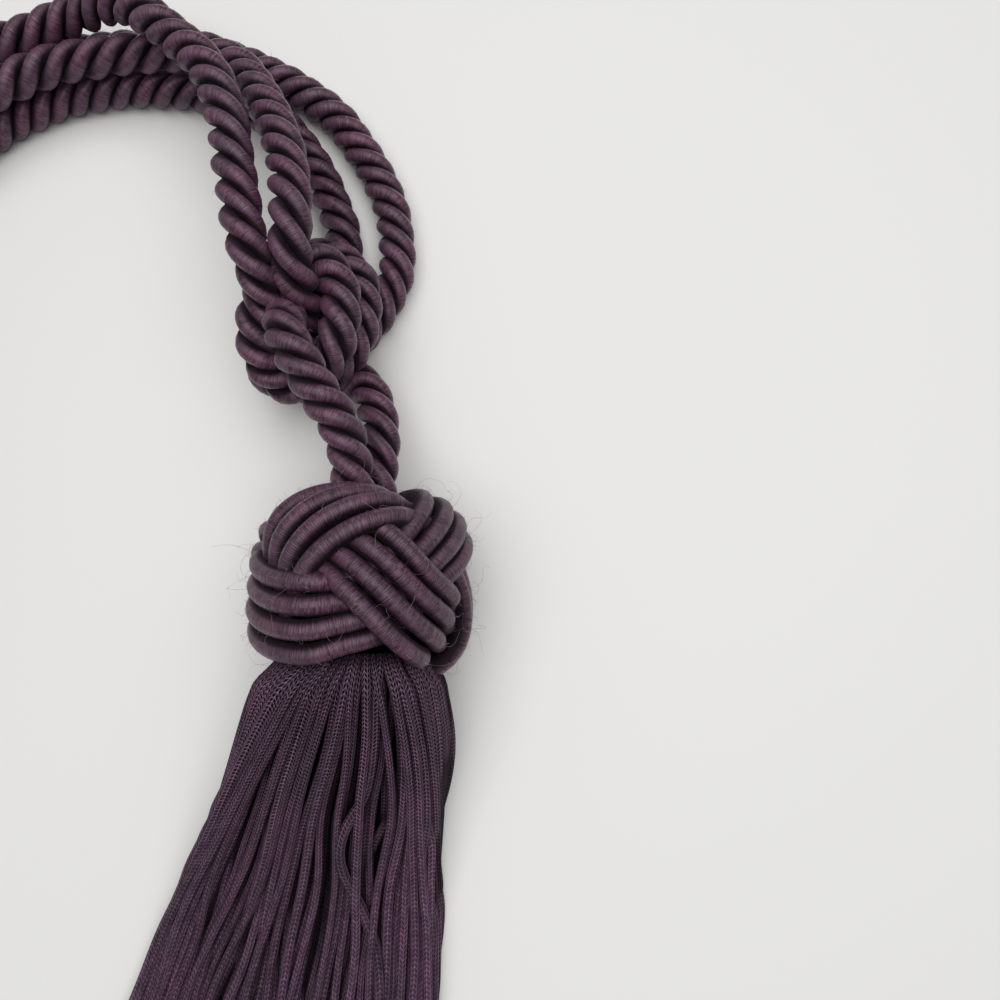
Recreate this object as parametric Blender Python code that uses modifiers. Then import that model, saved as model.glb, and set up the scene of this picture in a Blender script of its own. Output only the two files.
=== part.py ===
"""Curtain tieback tassel, laid down on a flat surface.

One three-strand rope leaves the top of the tassel's head, is tied in a bulky knot, runs out
and back in two long loops that go round a curtain, and comes back to the head. The head is
covered by a Turk's head of thick wrapped cord, and a skirt of knitted cords hangs from it.

Blender 4.5, metres, +Z up. The head's flat resting spot is at the origin. The head's axis
runs along Y: the rope is on the +Y side and the skirt on the -Y side.
"""

import math

import bmesh
import bpy
import numpy as np

MM = 0.001                      # the tables and sizes below are in millimetres

# ---- driving dimensions, in millimetres ---------------------------------------------------

GAP = 0.3                       # clearance between pieces that touch on the real object

ROPE_RADIUS = 6.0               # over the strands
ROPE_GROOVE_RADIUS = 4.0        # in the groove between two strands
ROPE_STRANDS = 3
ROPE_LAY = 21.5                 # length of one full turn of the strands
ROPE_FINE_STEP = 0.75           # between points of the middle line
CURVE_SPAN_POINTS = 24          # taken on each span before they are evened out
ROPE_STEPS_PER_LAY = 6
KNOT_STEPS_PER_LAY = 14         # finer, because the knot's turns are fused from this
ROPE_TURN_SIGN = -1.0           # strands turn left-handed, as the slope of a letter S

HEAD_CENTRE_Z = 29.0
HEAD_BODY_RADIUS = 25.6         # to the middle of the woven cords, across the axis
HEAD_BODY_HALF_LENGTH = 22.3    # the same along the axis
HEAD_BODY_SHIFT = (1.5, -1.9)   # of the ball's middle, to the side and along
HEAD_SHOULDER = 3.5             # 2 is a plain ellipse, more gives squarer shoulders
HEAD_CORD_RADIUS = 2.75
HEAD_CORD_SPACING = 5.2         # between neighbours, as wound on the round ball
HEAD_CORD_PASSES = 4            # cords that lie side by side
HEAD_WEAVE_HEIGHT = 2.3         # how far a cord rises over, or sinks under, the middle
HEAD_WEAVE_HOLD = 2.2           # more keeps a cord longer at its highest and lowest
HEAD_LEADS = 3
HEAD_BIGHTS = 4
HEAD_SWING = math.radians(42.2)      # latitude that the middle of the band reaches
HEAD_SWING_SHARP = -0.06             # more rounds the band's turns, less sharpens them
HEAD_SWING_CHANGES = (0.11, -0.20)   # share more towards the right, and towards the front
HEAD_SADDLE = -0.089                 # lift of the whole band at front and back, in radians
HEAD_BUNCHING = (-0.008, 0.012)      # shift along the band, twice round, in radians
HEAD_PHASE = math.radians(-15.3)     # longitude of an upper crossing, from straight up
HEAD_TILT = math.radians(19.6)       # of the weave, front towards the rope
HEAD_ROLL = math.radians(5.6)        # of the weave, towards the left
HEAD_SAMPLES = 1200             # points along each pass of the woven cord
HEAD_CORE_RADIUS = 21.0         # of the core, which only shows as dark gaps
HEAD_TOP_Y = 22.6               # flat land where the rope's two legs stand
HEAD_BOTTOM_Y = -22.6           # flat land that covers the skirt's backing
HEAD_BALL_SPLITS = 6            # how often the ball's faces are halved before shaping
HEAD_TRIANGLES = 4400

KNOT_CELL = 1.0                 # grain at which the turns of the knot are fused
KNOT_TRIANGLES = 2900

SKIRT_BACKING_RADIUS = 24.9
SKIRT_BACKING_THICKNESS = 3.0
SKIRT_BACKING_SIDES = 48
SKIRT_END_Y = -192.0
SKIRT_END_X = -31.0             # the skirt lies swung a little to the left
SKIRT_STRAND_WIDTH = 2.5
SKIRT_PILE_CENTRE_Z = 8.0       # middle of the flattened pile at its free end
SKIRT_SEGMENTS = 5
SKIRT_SEGMENT_GROWTH = 1.25     # above 1 the sections are closer together near the neck
SKIRT_FALL_LENGTH = 75.0        # over which the pile comes down to the surface
SKIRT_SPREAD_HASTE = 1.6        # above 1 the strands fan out sooner than evenly
SKIRT_SWAY = 1.2                # how far a strand strays sideways
SKIRT_SWAY_WIDTH = 9.0          # across the pile, between strands that stray alike
SKIRT_SWAY_BENDS = 3            # half waves along a strand
SKIRT_UNEVEN_LENGTH = 5.0
SKIRT_SEED = 7
SKIRT_FLAT_BELOW = 8.0          # squareness of the pile's outline under its middle
SKIRT_CROWN_ABOVE = 2.6         # the same above it; 2 is a plain ellipse
SKIRT_OUTLINE_POINTS = 721

# one row for each layer of strands, from the outside in
# (strands, radius at the neck, half width at the free end, half height there)
SKIRT_RINGS = (
    (52, 23.4, 53.0, 7.2),
    (40, 19.9, 49.2, 4.3),
    (28, 16.4, 45.4, 1.4),
)

# ---- the rope's route, in millimetres (x, y, z) -------------------------------------------

# from the head up to the knot, the leg that lies in front
LEG_FRONT = (
    (-0.8, 22.9, 35.4), (-0.9, 29.0, 36.6), (-2.0, 35.0, 38.0), (-4.6, 41.5, 40.2),
    (-8.8, 48.0, 42.0),
)
# over the knot's lower edge, down into its middle and out at the back
KNOT_FIRST = (
    (-13.0, 54.5, 43.5), (-16.5, 60.5, 43.5), (-19.2, 66.5, 41.3), (-21.0, 71.5, 35.5),
    (-21.3, 75.5, 27.5), (-19.5, 81.0, 18.5), (-16.0, 89.0, 11.0), (-12.0, 99.0, 7.2),
)
# the lower loop: out along the surface, round its end and back
LOOP_LOWER_OUT = (
    (-11.6, 109.0, 6.1), (-15.0, 120.5, 6.1), (-21.0, 133.5, 6.1), (-30.0, 146.5, 6.1),
    (-40.5, 154.5, 6.1), (-52.0, 159.5, 6.1), (-66.0, 162.5, 6.1), (-84.0, 163.5, 6.1),
    (-104.0, 160.5, 6.1), (-122.0, 152.5, 6.1), (-138.0, 139.5, 6.1), (-150.0, 122.0, 6.1),
    (-158.0, 102.0, 6.1), (-162.0, 80.0, 6.1), (-163.5, 56.0, 6.1), (-161.5, 32.0, 6.1),
    (-156.0, 8.0, 6.1), (-152.5, -14.0, 6.1), (-156.0, -33.0, 6.1),
)
LOOP_LOWER_BACK = (
    (-168.5, -45.5, 6.1), (-184.0, -44.0, 6.1), (-194.5, -31.0, 6.1), (-196.5, -11.0, 6.1),
    (-191.0, 12.0, 6.1), (-183.0, 36.0, 6.1), (-178.5, 60.0, 6.1), (-176.5, 84.0, 6.1),
    (-172.0, 107.0, 6.1), (-162.5, 130.0, 6.1), (-149.0, 149.5, 6.1), (-130.0, 165.0, 6.1),
    (-108.0, 174.5, 6.1), (-86.0, 177.5, 6.1), (-66.0, 177.0, 6.1), (-48.0, 172.6, 6.1),
    (-30.0, 163.6, 6.1), (-16.0, 153.2, 6.1), (-5.6, 139.0, 6.1), (2.2, 124.0, 6.1),
    (5.4, 109.0, 6.1),
)
# under the knot, two turns round it, and up through its middle
KNOT_SECOND = (
    (5.6, 99.5, 6.2), (3.0, 90.5, 6.2), (-2.0, 82.0, 6.2), (-9.0, 73.5, 6.2),
    (-16.5, 66.0, 6.8), (-24.0, 60.5, 9.5), (-30.0, 60.5, 14.5), (-32.2, 67.5, 18.6),
    (-31.6, 76.5, 20.5), (-28.0, 86.0, 20.8), (-21.0, 94.0, 20.5), (-13.0, 97.0, 20.0),
    (-6.3, 93.0, 20.0), (-2.8, 86.5, 20.0), (-2.4, 79.0, 20.0), (-4.2, 71.0, 20.0),
    (-8.8, 63.5, 20.0), (-15.5, 57.5, 20.4), (-23.0, 56.5, 22.3), (-29.0, 61.5, 25.5),
    (-31.2, 69.5, 28.4), (-29.8, 78.0, 30.6), (-25.2, 86.0, 31.6), (-18.2, 90.8, 31.5),
    (-11.2, 89.0, 31.0), (-7.4, 83.0, 31.0), (-6.4, 75.5, 31.0), (-7.6, 67.5, 30.2),
    (-11.6, 60.8, 27.6), (-17.5, 59.0, 24.4), (-22.6, 62.8, 22.8), (-25.2, 69.5, 25.0),
    (-26.6, 76.0, 31.0), (-27.6, 82.0, 38.0), (-29.2, 88.5, 42.8), (-31.2, 96.0, 44.3),
)
# the upper loop: over the pile, round its end and back
LOOP_UPPER_OUT = (
    (-32.8, 105.0, 44.3), (-34.9, 115.0, 43.6), (-37.4, 126.5, 42.4), (-41.8, 139.0, 40.4),
    (-49.0, 150.5, 37.6), (-57.5, 159.0, 34.6), (-68.0, 168.6, 32.6), (-80.0, 176.0, 28.0),
    (-94.0, 178.2, 21.4), (-110.0, 173.5, 18.5), (-131.0, 164.5, 18.5), (-149.5, 149.0, 18.5),
    (-163.0, 129.5, 18.5), (-172.0, 108.0, 18.5), (-178.0, 86.0, 18.5), (-184.5, 64.0, 18.5),
    (-191.5, 40.0, 18.5), (-195.5, 16.0, 18.5), (-193.5, -4.0, 18.5),
)
LOOP_UPPER_BACK = (
    (-183.0, -17.0, 18.5), (-167.5, -18.5, 18.5), (-155.5, -6.0, 18.5), (-152.0, 13.0, 18.5),
    (-155.0, 35.0, 18.5), (-159.5, 58.0, 18.5), (-161.0, 81.0, 18.5), (-157.5, 103.0, 18.5),
    (-149.5, 123.0, 18.5), (-137.5, 140.5, 18.5), (-121.5, 153.5, 18.5),
    (-103.5, 162.0, 18.5), (-85.0, 165.5, 18.5), (-67.0, 167.0, 18.5), (-53.5, 166.0, 19.0),
    (-44.0, 160.0, 21.8), (-36.0, 149.5, 26.8), (-29.0, 136.5, 32.8), (-23.2, 123.5, 38.4),
    (-19.8, 111.5, 42.2),
)
# down into the knot's middle and round to the lower edge
KNOT_THIRD = (
    (-18.2, 102.5, 44.2), (-18.0, 94.5, 44.6), (-18.0, 87.5, 42.8), (-17.6, 82.0, 37.5),
    (-17.6, 78.5, 30.0), (-19.5, 74.0, 21.0), (-21.5, 67.5, 14.5), (-18.5, 61.8, 11.6),
    (-12.0, 60.2, 11.6), (-5.8, 60.8, 12.6), (-1.2, 57.6, 14.6),
)
# from the knot back to the head, the leg that lies behind
LEG_BACK = (
    (1.8, 51.0, 17.4), (3.4, 44.5, 20.0), (4.0, 37.5, 22.2), (3.8, 30.0, 23.2),
    (3.4, 22.9, 23.2),
)

# the route in order: each stretch is one node or a run of the knot
ROPE_STRETCHES = (
    ("leg_front", LEG_FRONT),
    ("knot", KNOT_FIRST),
    ("loop_lower", LOOP_LOWER_OUT + LOOP_LOWER_BACK),
    ("knot", KNOT_SECOND),
    ("loop_upper", LOOP_UPPER_OUT + LOOP_UPPER_BACK),
    ("knot", KNOT_THIRD),
    ("leg_back", LEG_BACK),
)

# ---- colours of the yarns: linear red, green, blue, and how rough each is -----------------

YARNS = {
    "rope_yarn": ((0.052, 0.022, 0.040), 0.52),
    "rope_yarn_shaded": ((0.045, 0.019, 0.035), 0.55),
    "knot_yarn": ((0.056, 0.024, 0.043), 0.52),
    "head_cord": ((0.060, 0.025, 0.046), 0.48),
    "skirt_cord": ((0.038, 0.016, 0.030), 0.62),
}
NODE_YARN = {
    "leg_front": "rope_yarn",
    "leg_back": "rope_yarn_shaded",
    "knot": "knot_yarn",
    "loop_lower": "rope_yarn_shaded",
    "loop_upper": "rope_yarn",
    "head": "head_cord",
    "skirt": "skirt_cord",
}


# ---- scene helpers ------------------------------------------------------------------------

def clear_scene():
    for old in list(bpy.data.objects):
        bpy.data.objects.remove(old, do_unlink=True)


def new_collection(name):
    collection = bpy.data.collections.new(name)
    bpy.context.scene.collection.children.link(collection)
    return collection


def yarn_material(node_name):
    """Satin yarn: a soft dielectric in the node's own shade."""
    colour, roughness = YARNS[NODE_YARN[node_name]]
    material = bpy.data.materials.new(node_name + "_yarn")
    material.use_nodes = True
    shader = material.node_tree.nodes["Principled BSDF"]
    shader.inputs["Base Color"].default_value = (*colour, 1.0)
    shader.inputs["Roughness"].default_value = roughness
    shader.inputs["Metallic"].default_value = 0.0
    return material


def object_from_bmesh(name, bm, collection, material):
    bmesh.ops.recalc_face_normals(bm, faces=bm.faces)
    mesh = bpy.data.meshes.new(name)
    bm.to_mesh(mesh)
    bm.free()
    mesh.materials.append(material)
    obj = bpy.data.objects.new(name, mesh)
    collection.objects.link(obj)
    return obj


def apply_modifiers(obj):
    """Keep the mesh that the object's modifiers give, and drop the modifiers."""
    evaluated = obj.evaluated_get(bpy.context.evaluated_depsgraph_get())
    finished = bpy.data.meshes.new_from_object(evaluated)
    obj.modifiers.clear()
    obj.data = finished


def union(target, other):
    """Fuse another object into the target and remove it."""
    modifier = target.modifiers.new("fuse", "BOOLEAN")
    modifier.operation = "UNION"
    modifier.solver = "EXACT"
    modifier.object = other
    apply_modifiers(target)
    bpy.data.objects.remove(other, do_unlink=True)


def thin_out(obj, triangles):
    """Merge faces where the shape is plainest until the given number is left."""
    have = sum(len(face.vertices) - 2 for face in obj.data.polygons)
    modifier = obj.modifiers.new("thin_out", "DECIMATE")
    modifier.ratio = triangles / have
    apply_modifiers(obj)


def keep_largest_island(obj):
    """Fill the sealed pockets between fused turns by deleting their inner walls."""
    bm = bmesh.new()
    bm.from_mesh(obj.data)
    islands = []
    unseen = set(bm.verts)
    while unseen:
        island = []
        waiting = [unseen.pop()]
        while waiting:
            vert = waiting.pop()
            island.append(vert)
            for edge in vert.link_edges:
                other = edge.other_vert(vert)
                if other in unseen:
                    unseen.remove(other)
                    waiting.append(other)
        islands.append(island)
    islands.sort(key=len)
    for island in islands[:-1]:
        bmesh.ops.delete(bm, geom=island, context="VERTS")
    bm.to_mesh(obj.data)
    bm.free()


# ---- curves through points ----------------------------------------------------------------

def smooth_curve(points, spacing):
    """Points on one smooth curve through the given ones, evenly spaced along it.

    Each span is a cubic whose slopes at its ends look at the neighbours and at how far
    apart they are, so that uneven spacing gives no loops.
    """
    pts = np.array(points, dtype=float)
    ends = np.vstack([2.0 * pts[0] - pts[1], pts, 2.0 * pts[-1] - pts[-2]])
    dense = []
    for i in range(1, len(ends) - 2):
        before, start, finish, after = ends[i - 1:i + 3]
        t0 = np.linalg.norm(start - before) ** 0.5
        t1 = np.linalg.norm(finish - start) ** 0.5
        t2 = np.linalg.norm(after - finish) ** 0.5
        chord = (finish - start) / t1
        slope_start = (start - before) / t0 - (finish - before) / (t0 + t1) + chord
        slope_finish = chord - (after - start) / (t1 + t2) + (after - finish) / t2
        t = np.linspace(0.0, 1.0, CURVE_SPAN_POINTS, endpoint=False)[:, None]
        a = 2.0 * start - 2.0 * finish + t1 * (slope_start + slope_finish)
        b = -3.0 * start + 3.0 * finish - t1 * (2.0 * slope_start + slope_finish)
        dense.append(start + t * t1 * slope_start + t ** 2 * b + t ** 3 * a)
    dense = np.vstack([*dense, pts[-1:]])
    lengths = np.linalg.norm(np.diff(dense, axis=0), axis=1)
    along = np.concatenate([[0.0], np.cumsum(lengths)])
    count = max(2, int(round(along[-1] / spacing))) + 1
    even = np.linspace(0.0, along[-1], count)
    return np.column_stack([np.interp(even, along, dense[:, k]) for k in range(3)]), even


def carried_sides(curve, first_side):
    """A direction across the curve at each point, turning as little as possible."""
    tangents = np.gradient(curve, axis=0)
    tangents /= np.linalg.norm(tangents, axis=1)[:, None]
    side = np.array(first_side, dtype=float)
    sides = []
    for tangent in tangents:
        side = side - tangent * np.dot(side, tangent)
        side /= np.linalg.norm(side)
        sides.append(side)
    return np.array(sides), np.cross(tangents, np.array(sides))


def sweep(bm, rings):
    """A closed skin over rings of equally many points, with a flat cap on each end."""
    start = bmesh.ops.create_circle(bm, segments=len(rings[0]), radius=1.0)["verts"]
    for vert, place in zip(start, rings[0]):
        vert.co = place
    edges = [bm.edges.get((start[i - 1], start[i])) for i in range(len(start))]
    first = edges
    for ring in rings[1:]:
        grown = bmesh.ops.extrude_edge_only(bm, edges=edges)["geom"]
        verts = [item for item in grown if isinstance(item, bmesh.types.BMVert)]
        edges = [item for item in grown
                 if isinstance(item, bmesh.types.BMEdge)
                 and item.verts[0] in verts and item.verts[1] in verts]
        partner = {}
        for vert in verts:
            old = next(edge.other_vert(vert) for edge in vert.link_edges
                       if edge.other_vert(vert) not in verts)
            partner[old] = vert
        start = [partner[vert] for vert in start]
        for vert, place in zip(start, ring):
            vert.co = place
    bmesh.ops.contextual_create(bm, geom=first)
    bmesh.ops.contextual_create(bm, geom=edges)


# ---- the rope -----------------------------------------------------------------------------

class Rope:
    """The middle line of the whole rope, from the head out and back to the head."""

    def __init__(self):
        route = [point for _, points in ROPE_STRETCHES for point in points]
        self.curve, self.along = smooth_curve(route, ROPE_FINE_STEP)
        self.sides, self.ups = carried_sides(self.curve, (1.0, 0.0, 0.0))
        print("rope length in mm:", round(float(self.along[-1]), 1))

    def at(self, table, distance):
        """The value in a table of the curve's points at a distance along the rope."""
        return np.array([np.interp(distance, self.along, table[:, k]) for k in range(3)])

    def ring(self, distance):
        """The rope's outline: a ridge for each strand and a groove between two."""
        turn = ROPE_TURN_SIGN * 2.0 * math.pi * distance / ROPE_LAY
        centre = self.at(self.curve, distance)
        side = self.at(self.sides, distance)
        up = self.at(self.ups, distance)
        ring = []
        for i in range(2 * ROPE_STRANDS):
            radius = ROPE_RADIUS if i % 2 == 0 else ROPE_GROOVE_RADIUS
            angle = turn + math.pi * i / ROPE_STRANDS
            across = side * math.cos(angle) + up * math.sin(angle)
            ring.append(tuple((centre + radius * across) * MM))
        return ring

    def joints(self):
        """Distances along the rope at which one stretch ends and the next begins."""
        found = [0.0]
        for (_, points), (_, following) in zip(ROPE_STRETCHES, ROPE_STRETCHES[1:]):
            middle = (np.array(points[-1]) + np.array(following[0])) / 2.0
            away = np.linalg.norm(self.curve - middle, axis=1)
            away[self.along <= found[-1]] = np.inf
            found.append(float(self.along[np.argmin(away)]))
        return found + [float(self.along[-1])]

    def stretches(self, steps_per_lay):
        """The rings of each stretch, with a gap where it meets the next one."""
        joints = self.joints()
        for (name, _), start, end in zip(ROPE_STRETCHES, joints, joints[1:]):
            start += GAP * (start > 0.0)
            end -= GAP * (end < self.along[-1])
            count = int(round((end - start) / ROPE_LAY * steps_per_lay)) + 1
            yield name, [self.ring(distance) for distance in np.linspace(start, end, count)]


def level_foot(ring):
    """The ring at the end of a leg, laid level on the head's flat land."""
    return [(x, (HEAD_TOP_Y + GAP) * MM, z) for x, _, z in ring]


def build_legs_and_loops(rope, collection):
    """The stretches of rope that lie free, each one a twisted skin."""
    for name, rings in rope.stretches(ROPE_STEPS_PER_LAY):
        if name == "leg_front":
            rings[0] = level_foot(rings[0])
        if name == "leg_back":
            rings[-1] = level_foot(rings[-1])
        if name != "knot":
            bm = bmesh.new()
            sweep(bm, rings)
            object_from_bmesh(name, bm, collection, yarn_material(name))


def build_knot(rope, collection):
    """The runs of rope inside the knot press on each other and are fused into one body."""
    bm = bmesh.new()
    for name, rings in rope.stretches(KNOT_STEPS_PER_LAY):
        if name == "knot":
            sweep(bm, rings)
    knot = object_from_bmesh("knot", bm, collection, yarn_material("knot"))
    modifier = knot.modifiers.new("fuse_turns", "REMESH")
    modifier.mode = "VOXEL"
    modifier.voxel_size = KNOT_CELL * MM
    apply_modifiers(knot)
    keep_largest_island(knot)
    thin_out(knot, KNOT_TRIANGLES)
    return knot


# ---- the head -----------------------------------------------------------------------------

def head_surface(direction):
    """Point on the middle surface of the woven cords, from the ball's middle."""
    across = np.hypot(direction[:, 0], direction[:, 2]) / HEAD_BODY_RADIUS
    along = np.abs(direction[:, 1]) / HEAD_BODY_HALF_LENGTH
    reach = (across ** HEAD_SHOULDER + along ** HEAD_SHOULDER) ** (-1.0 / HEAD_SHOULDER)
    return direction * reach[:, None]


def tilted(direction):
    """The weave's directions, tilted and rolled as the band sits on the ball."""
    x, y, z = direction.T
    y, z = (math.cos(HEAD_TILT) * y + math.sin(HEAD_TILT) * z,
            math.cos(HEAD_TILT) * z - math.sin(HEAD_TILT) * y)
    x, y = (math.cos(HEAD_ROLL) * x - math.sin(HEAD_ROLL) * y,
            math.sin(HEAD_ROLL) * x + math.cos(HEAD_ROLL) * y)
    return np.stack([x, y, z], axis=-1)


def head_cord_lines():
    """Middle lines of the woven cord's passes, which rise and sink where bands cross."""
    turn = np.linspace(0.0, 2.0 * math.pi * HEAD_LEADS, HEAD_SAMPLES, endpoint=False)
    ratio = HEAD_BIGHTS / HEAD_LEADS
    wave = ratio * turn
    base = turn + HEAD_PHASE + math.pi / HEAD_BIGHTS
    right, front = HEAD_SWING_CHANGES
    swing = HEAD_SWING * (1.0 + right * np.sin(base) + front * np.cos(base))
    swing_slope = HEAD_SWING * (right * np.cos(base) - front * np.sin(base))
    shape = np.cos(wave) + HEAD_SWING_SHARP * np.cos(3.0 * wave)
    shape_slope = -ratio * (np.sin(wave) + 3.0 * HEAD_SWING_SHARP * np.sin(3.0 * wave))
    latitude = swing * shape + HEAD_SADDLE * np.cos(2.0 * base)
    slope = swing * shape_slope + swing_slope * shape - 2.0 * HEAD_SADDLE * np.sin(2.0 * base)
    along_east = np.cos(latitude)
    length = np.hypot(slope, along_east)
    bunching = HEAD_BUNCHING[0] * np.sin(2.0 * base) + HEAD_BUNCHING[1] * np.cos(2.0 * base)
    held = np.tanh(HEAD_WEAVE_HOLD * np.sin(-2.0 * wave)) / math.tanh(HEAD_WEAVE_HOLD)
    lines = []
    for number in range(HEAD_CORD_PASSES):
        offset = (number - (HEAD_CORD_PASSES - 1) / 2.0) * HEAD_CORD_SPACING
        angle = offset / HEAD_BODY_RADIUS
        moved_latitude = latitude + angle * along_east / length
        moved_longitude = base - angle * slope / length / np.cos(moved_latitude) + bunching
        direction = np.stack([np.cos(moved_latitude) * np.sin(moved_longitude),
                              np.sin(moved_latitude),
                              np.cos(moved_latitude) * np.cos(moved_longitude)], axis=-1)
        point = head_surface(tilted(direction))
        outward = point / np.linalg.norm(point, axis=-1)[:, None]
        shift = np.array((HEAD_BODY_SHIFT[0], HEAD_BODY_SHIFT[1], 0.0))
        lines.append(point + outward * HEAD_WEAVE_HEIGHT * held[:, None] + shift)
    return np.vstack(lines)


def build_head(collection):
    """A ball whose points are moved out to the surface of the cords woven over it."""
    bm = bmesh.new()
    bmesh.ops.create_icosphere(bm, subdivisions=HEAD_BALL_SPLITS, radius=1.0)
    lines = head_cord_lines()
    squared = (lines ** 2).sum(axis=1)
    for vert in bm.verts:
        direction = np.array(vert.co.normalized())
        ahead = lines @ direction
        inside = HEAD_CORD_RADIUS ** 2 - squared + ahead ** 2
        hit = inside > 0.0
        reach = HEAD_CORE_RADIUS
        if hit.any():
            reach = max(reach, float((ahead[hit] + np.sqrt(inside[hit])).max()))
        place = direction * reach
        place[1] = min(max(place[1], HEAD_BOTTOM_Y), HEAD_TOP_Y)
        place[2] = max(place[2], -HEAD_CENTRE_Z)
        vert.co = tuple((place + np.array((0.0, 0.0, HEAD_CENTRE_Z))) * MM)
    head = object_from_bmesh("head", bm, collection, yarn_material("head"))
    thin_out(head, HEAD_TRIANGLES)
    return head


# ---- the skirt ----------------------------------------------------------------------------

def ease(value):
    """0 to 1 with soft ends."""
    value = min(max(value, 0.0), 1.0)
    return value * value * (3.0 - 2.0 * value)


def flattened_outline(half_width, half_height, count):
    """Evenly spaced points round a flat pile: level below, crowned above."""
    angles = np.linspace(0.0, 2.0 * math.pi, SKIRT_OUTLINE_POINTS)
    c, s = np.cos(angles), np.sin(angles)
    power = np.where(s < 0.0, SKIRT_FLAT_BELOW, SKIRT_CROWN_ABOVE)
    swell = (np.abs(c) ** power + np.abs(s) ** power) ** (-1.0 / power)
    x = half_width * c * swell
    z = half_height * s * swell
    along = np.concatenate([[0.0], np.cumsum(np.hypot(np.diff(x), np.diff(z)))])
    even = (np.arange(count) + 0.5) / count * along[-1]
    return np.interp(even, along, x), np.interp(even, along, z)


def strand_rings(neck_x, neck_z, end_x, end_z, length, sway):
    """Three-sided sections of one strand, flat side down, from the backing to its end."""
    root_y = HEAD_BOTTOM_Y - GAP - SKIRT_BACKING_THICKNESS / 2.0
    height = SKIRT_STRAND_WIDTH * math.sqrt(3.0) / 2.0
    rings = []
    for k in range(SKIRT_SEGMENTS + 1):
        share = (k / SKIRT_SEGMENTS) ** SKIRT_SEGMENT_GROWTH
        y = root_y - length * share
        fall = ease(length * share / SKIRT_FALL_LENGTH)
        spread = 1.0 - (1.0 - share) ** SKIRT_SPREAD_HASTE
        stray = sway * math.sin(SKIRT_SWAY_BENDS * math.pi * share)
        x = neck_x + (end_x - neck_x) * spread + stray
        z = neck_z + (end_z - neck_z) * fall
        rings.append([
            ((x - SKIRT_STRAND_WIDTH / 2.0) * MM, y * MM, (z - height / 3.0) * MM),
            ((x + SKIRT_STRAND_WIDTH / 2.0) * MM, y * MM, (z - height / 3.0) * MM),
            (x * MM, y * MM, (z + 2.0 * height / 3.0) * MM),
        ])
    return rings


def build_skirt(collection):
    """Strands in nested layers, their roots fused into one round backing."""
    rng = np.random.default_rng(SKIRT_SEED)
    full_length = HEAD_BOTTOM_Y - GAP - SKIRT_END_Y
    lowest = SKIRT_PILE_CENTRE_Z - SKIRT_RINGS[0][3] - SKIRT_STRAND_WIDTH * math.sqrt(3.0) / 6.0
    material = yarn_material("skirt")
    bm = bmesh.new()
    for count, neck_radius, half_width, half_height in SKIRT_RINGS:
        xs, zs = flattened_outline(half_width, half_height, count)
        for i in range(count):
            angle = 2.0 * math.pi * (i + 0.5) / count
            neck_x = neck_radius * math.cos(angle)
            neck_z = HEAD_CENTRE_Z + neck_radius * math.sin(angle)
            end_x = SKIRT_END_X + xs[i]
            end_z = SKIRT_PILE_CENTRE_Z + zs[i] - lowest
            length = full_length - SKIRT_UNEVEN_LENGTH * rng.random()
            sway = SKIRT_SWAY * math.sin(end_x / SKIRT_SWAY_WIDTH)
            sweep(bm, strand_rings(neck_x, neck_z, end_x, end_z, length, sway))
    strands = object_from_bmesh("skirt_strands", bm, collection, material)

    bm = bmesh.new()
    bmesh.ops.create_cone(bm, cap_ends=True, segments=SKIRT_BACKING_SIDES,
                          radius1=SKIRT_BACKING_RADIUS * MM, radius2=SKIRT_BACKING_RADIUS * MM,
                          depth=SKIRT_BACKING_THICKNESS * MM)
    middle_y = (HEAD_BOTTOM_Y - GAP - SKIRT_BACKING_THICKNESS / 2.0) * MM
    for vert in bm.verts:
        x, y, z = vert.co
        vert.co = (x, z + middle_y, y + HEAD_CENTRE_Z * MM)
    skirt = object_from_bmesh("skirt", bm, collection, material)
    union(skirt, strands)
    return skirt


# ---- build --------------------------------------------------------------------------------

def main():
    clear_scene()
    collection = new_collection("curtain_tieback_tassel")
    rope = Rope()
    build_legs_and_loops(rope, collection)
    build_knot(rope, collection)
    build_head(collection)
    build_skirt(collection)
    for obj in collection.objects:
        faces = sum(len(face.vertices) - 2 for face in obj.data.polygons)
        print(obj.name, "triangles:", faces)


main()
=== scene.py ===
# %% [markdown]
# # A curtain tieback with a tassel, lying on a table
#
# A tieback holds a gathered curtain to the side of a window. This one is made of three
# things: one length of twisted rope with a bulky knot and two long loops, a ball head that
# is covered by a woven band of thick wrapped cord, and a skirt of fine knitted cords.
#
# The solids of the part are loaded first and stay as they are. Each piece that is made here
# stands in their place and shows the yarn: its threads, stitches, gaps and stray hairs.
# All lengths in the tables are millimetres.

# %% Load the fixed frame
import math

import bpy
import numpy as np
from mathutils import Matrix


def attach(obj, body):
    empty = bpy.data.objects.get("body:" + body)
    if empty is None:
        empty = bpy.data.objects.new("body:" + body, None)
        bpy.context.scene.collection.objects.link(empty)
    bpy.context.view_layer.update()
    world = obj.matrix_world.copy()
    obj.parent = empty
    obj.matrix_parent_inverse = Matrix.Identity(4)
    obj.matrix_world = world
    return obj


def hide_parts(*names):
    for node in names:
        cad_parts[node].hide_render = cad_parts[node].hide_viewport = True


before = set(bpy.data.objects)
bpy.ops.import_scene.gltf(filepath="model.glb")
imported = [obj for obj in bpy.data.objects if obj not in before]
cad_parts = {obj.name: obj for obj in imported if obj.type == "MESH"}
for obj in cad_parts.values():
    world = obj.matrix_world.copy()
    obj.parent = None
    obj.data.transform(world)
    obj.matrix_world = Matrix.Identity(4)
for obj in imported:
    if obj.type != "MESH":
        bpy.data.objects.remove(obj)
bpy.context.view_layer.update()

MM = 0.001
print("the solids:", sorted(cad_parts))

# %% [markdown]
# ## The camera
#
# The picture was taken from close by and nearly straight down. The nearest parts of the rope
# look wider than the parts on the table, and by how much tells how far away the camera was:
# about 20 cm above the knot, with a wide lens. A longer lens from further away would show
# all parts of the rope equally wide.

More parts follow.
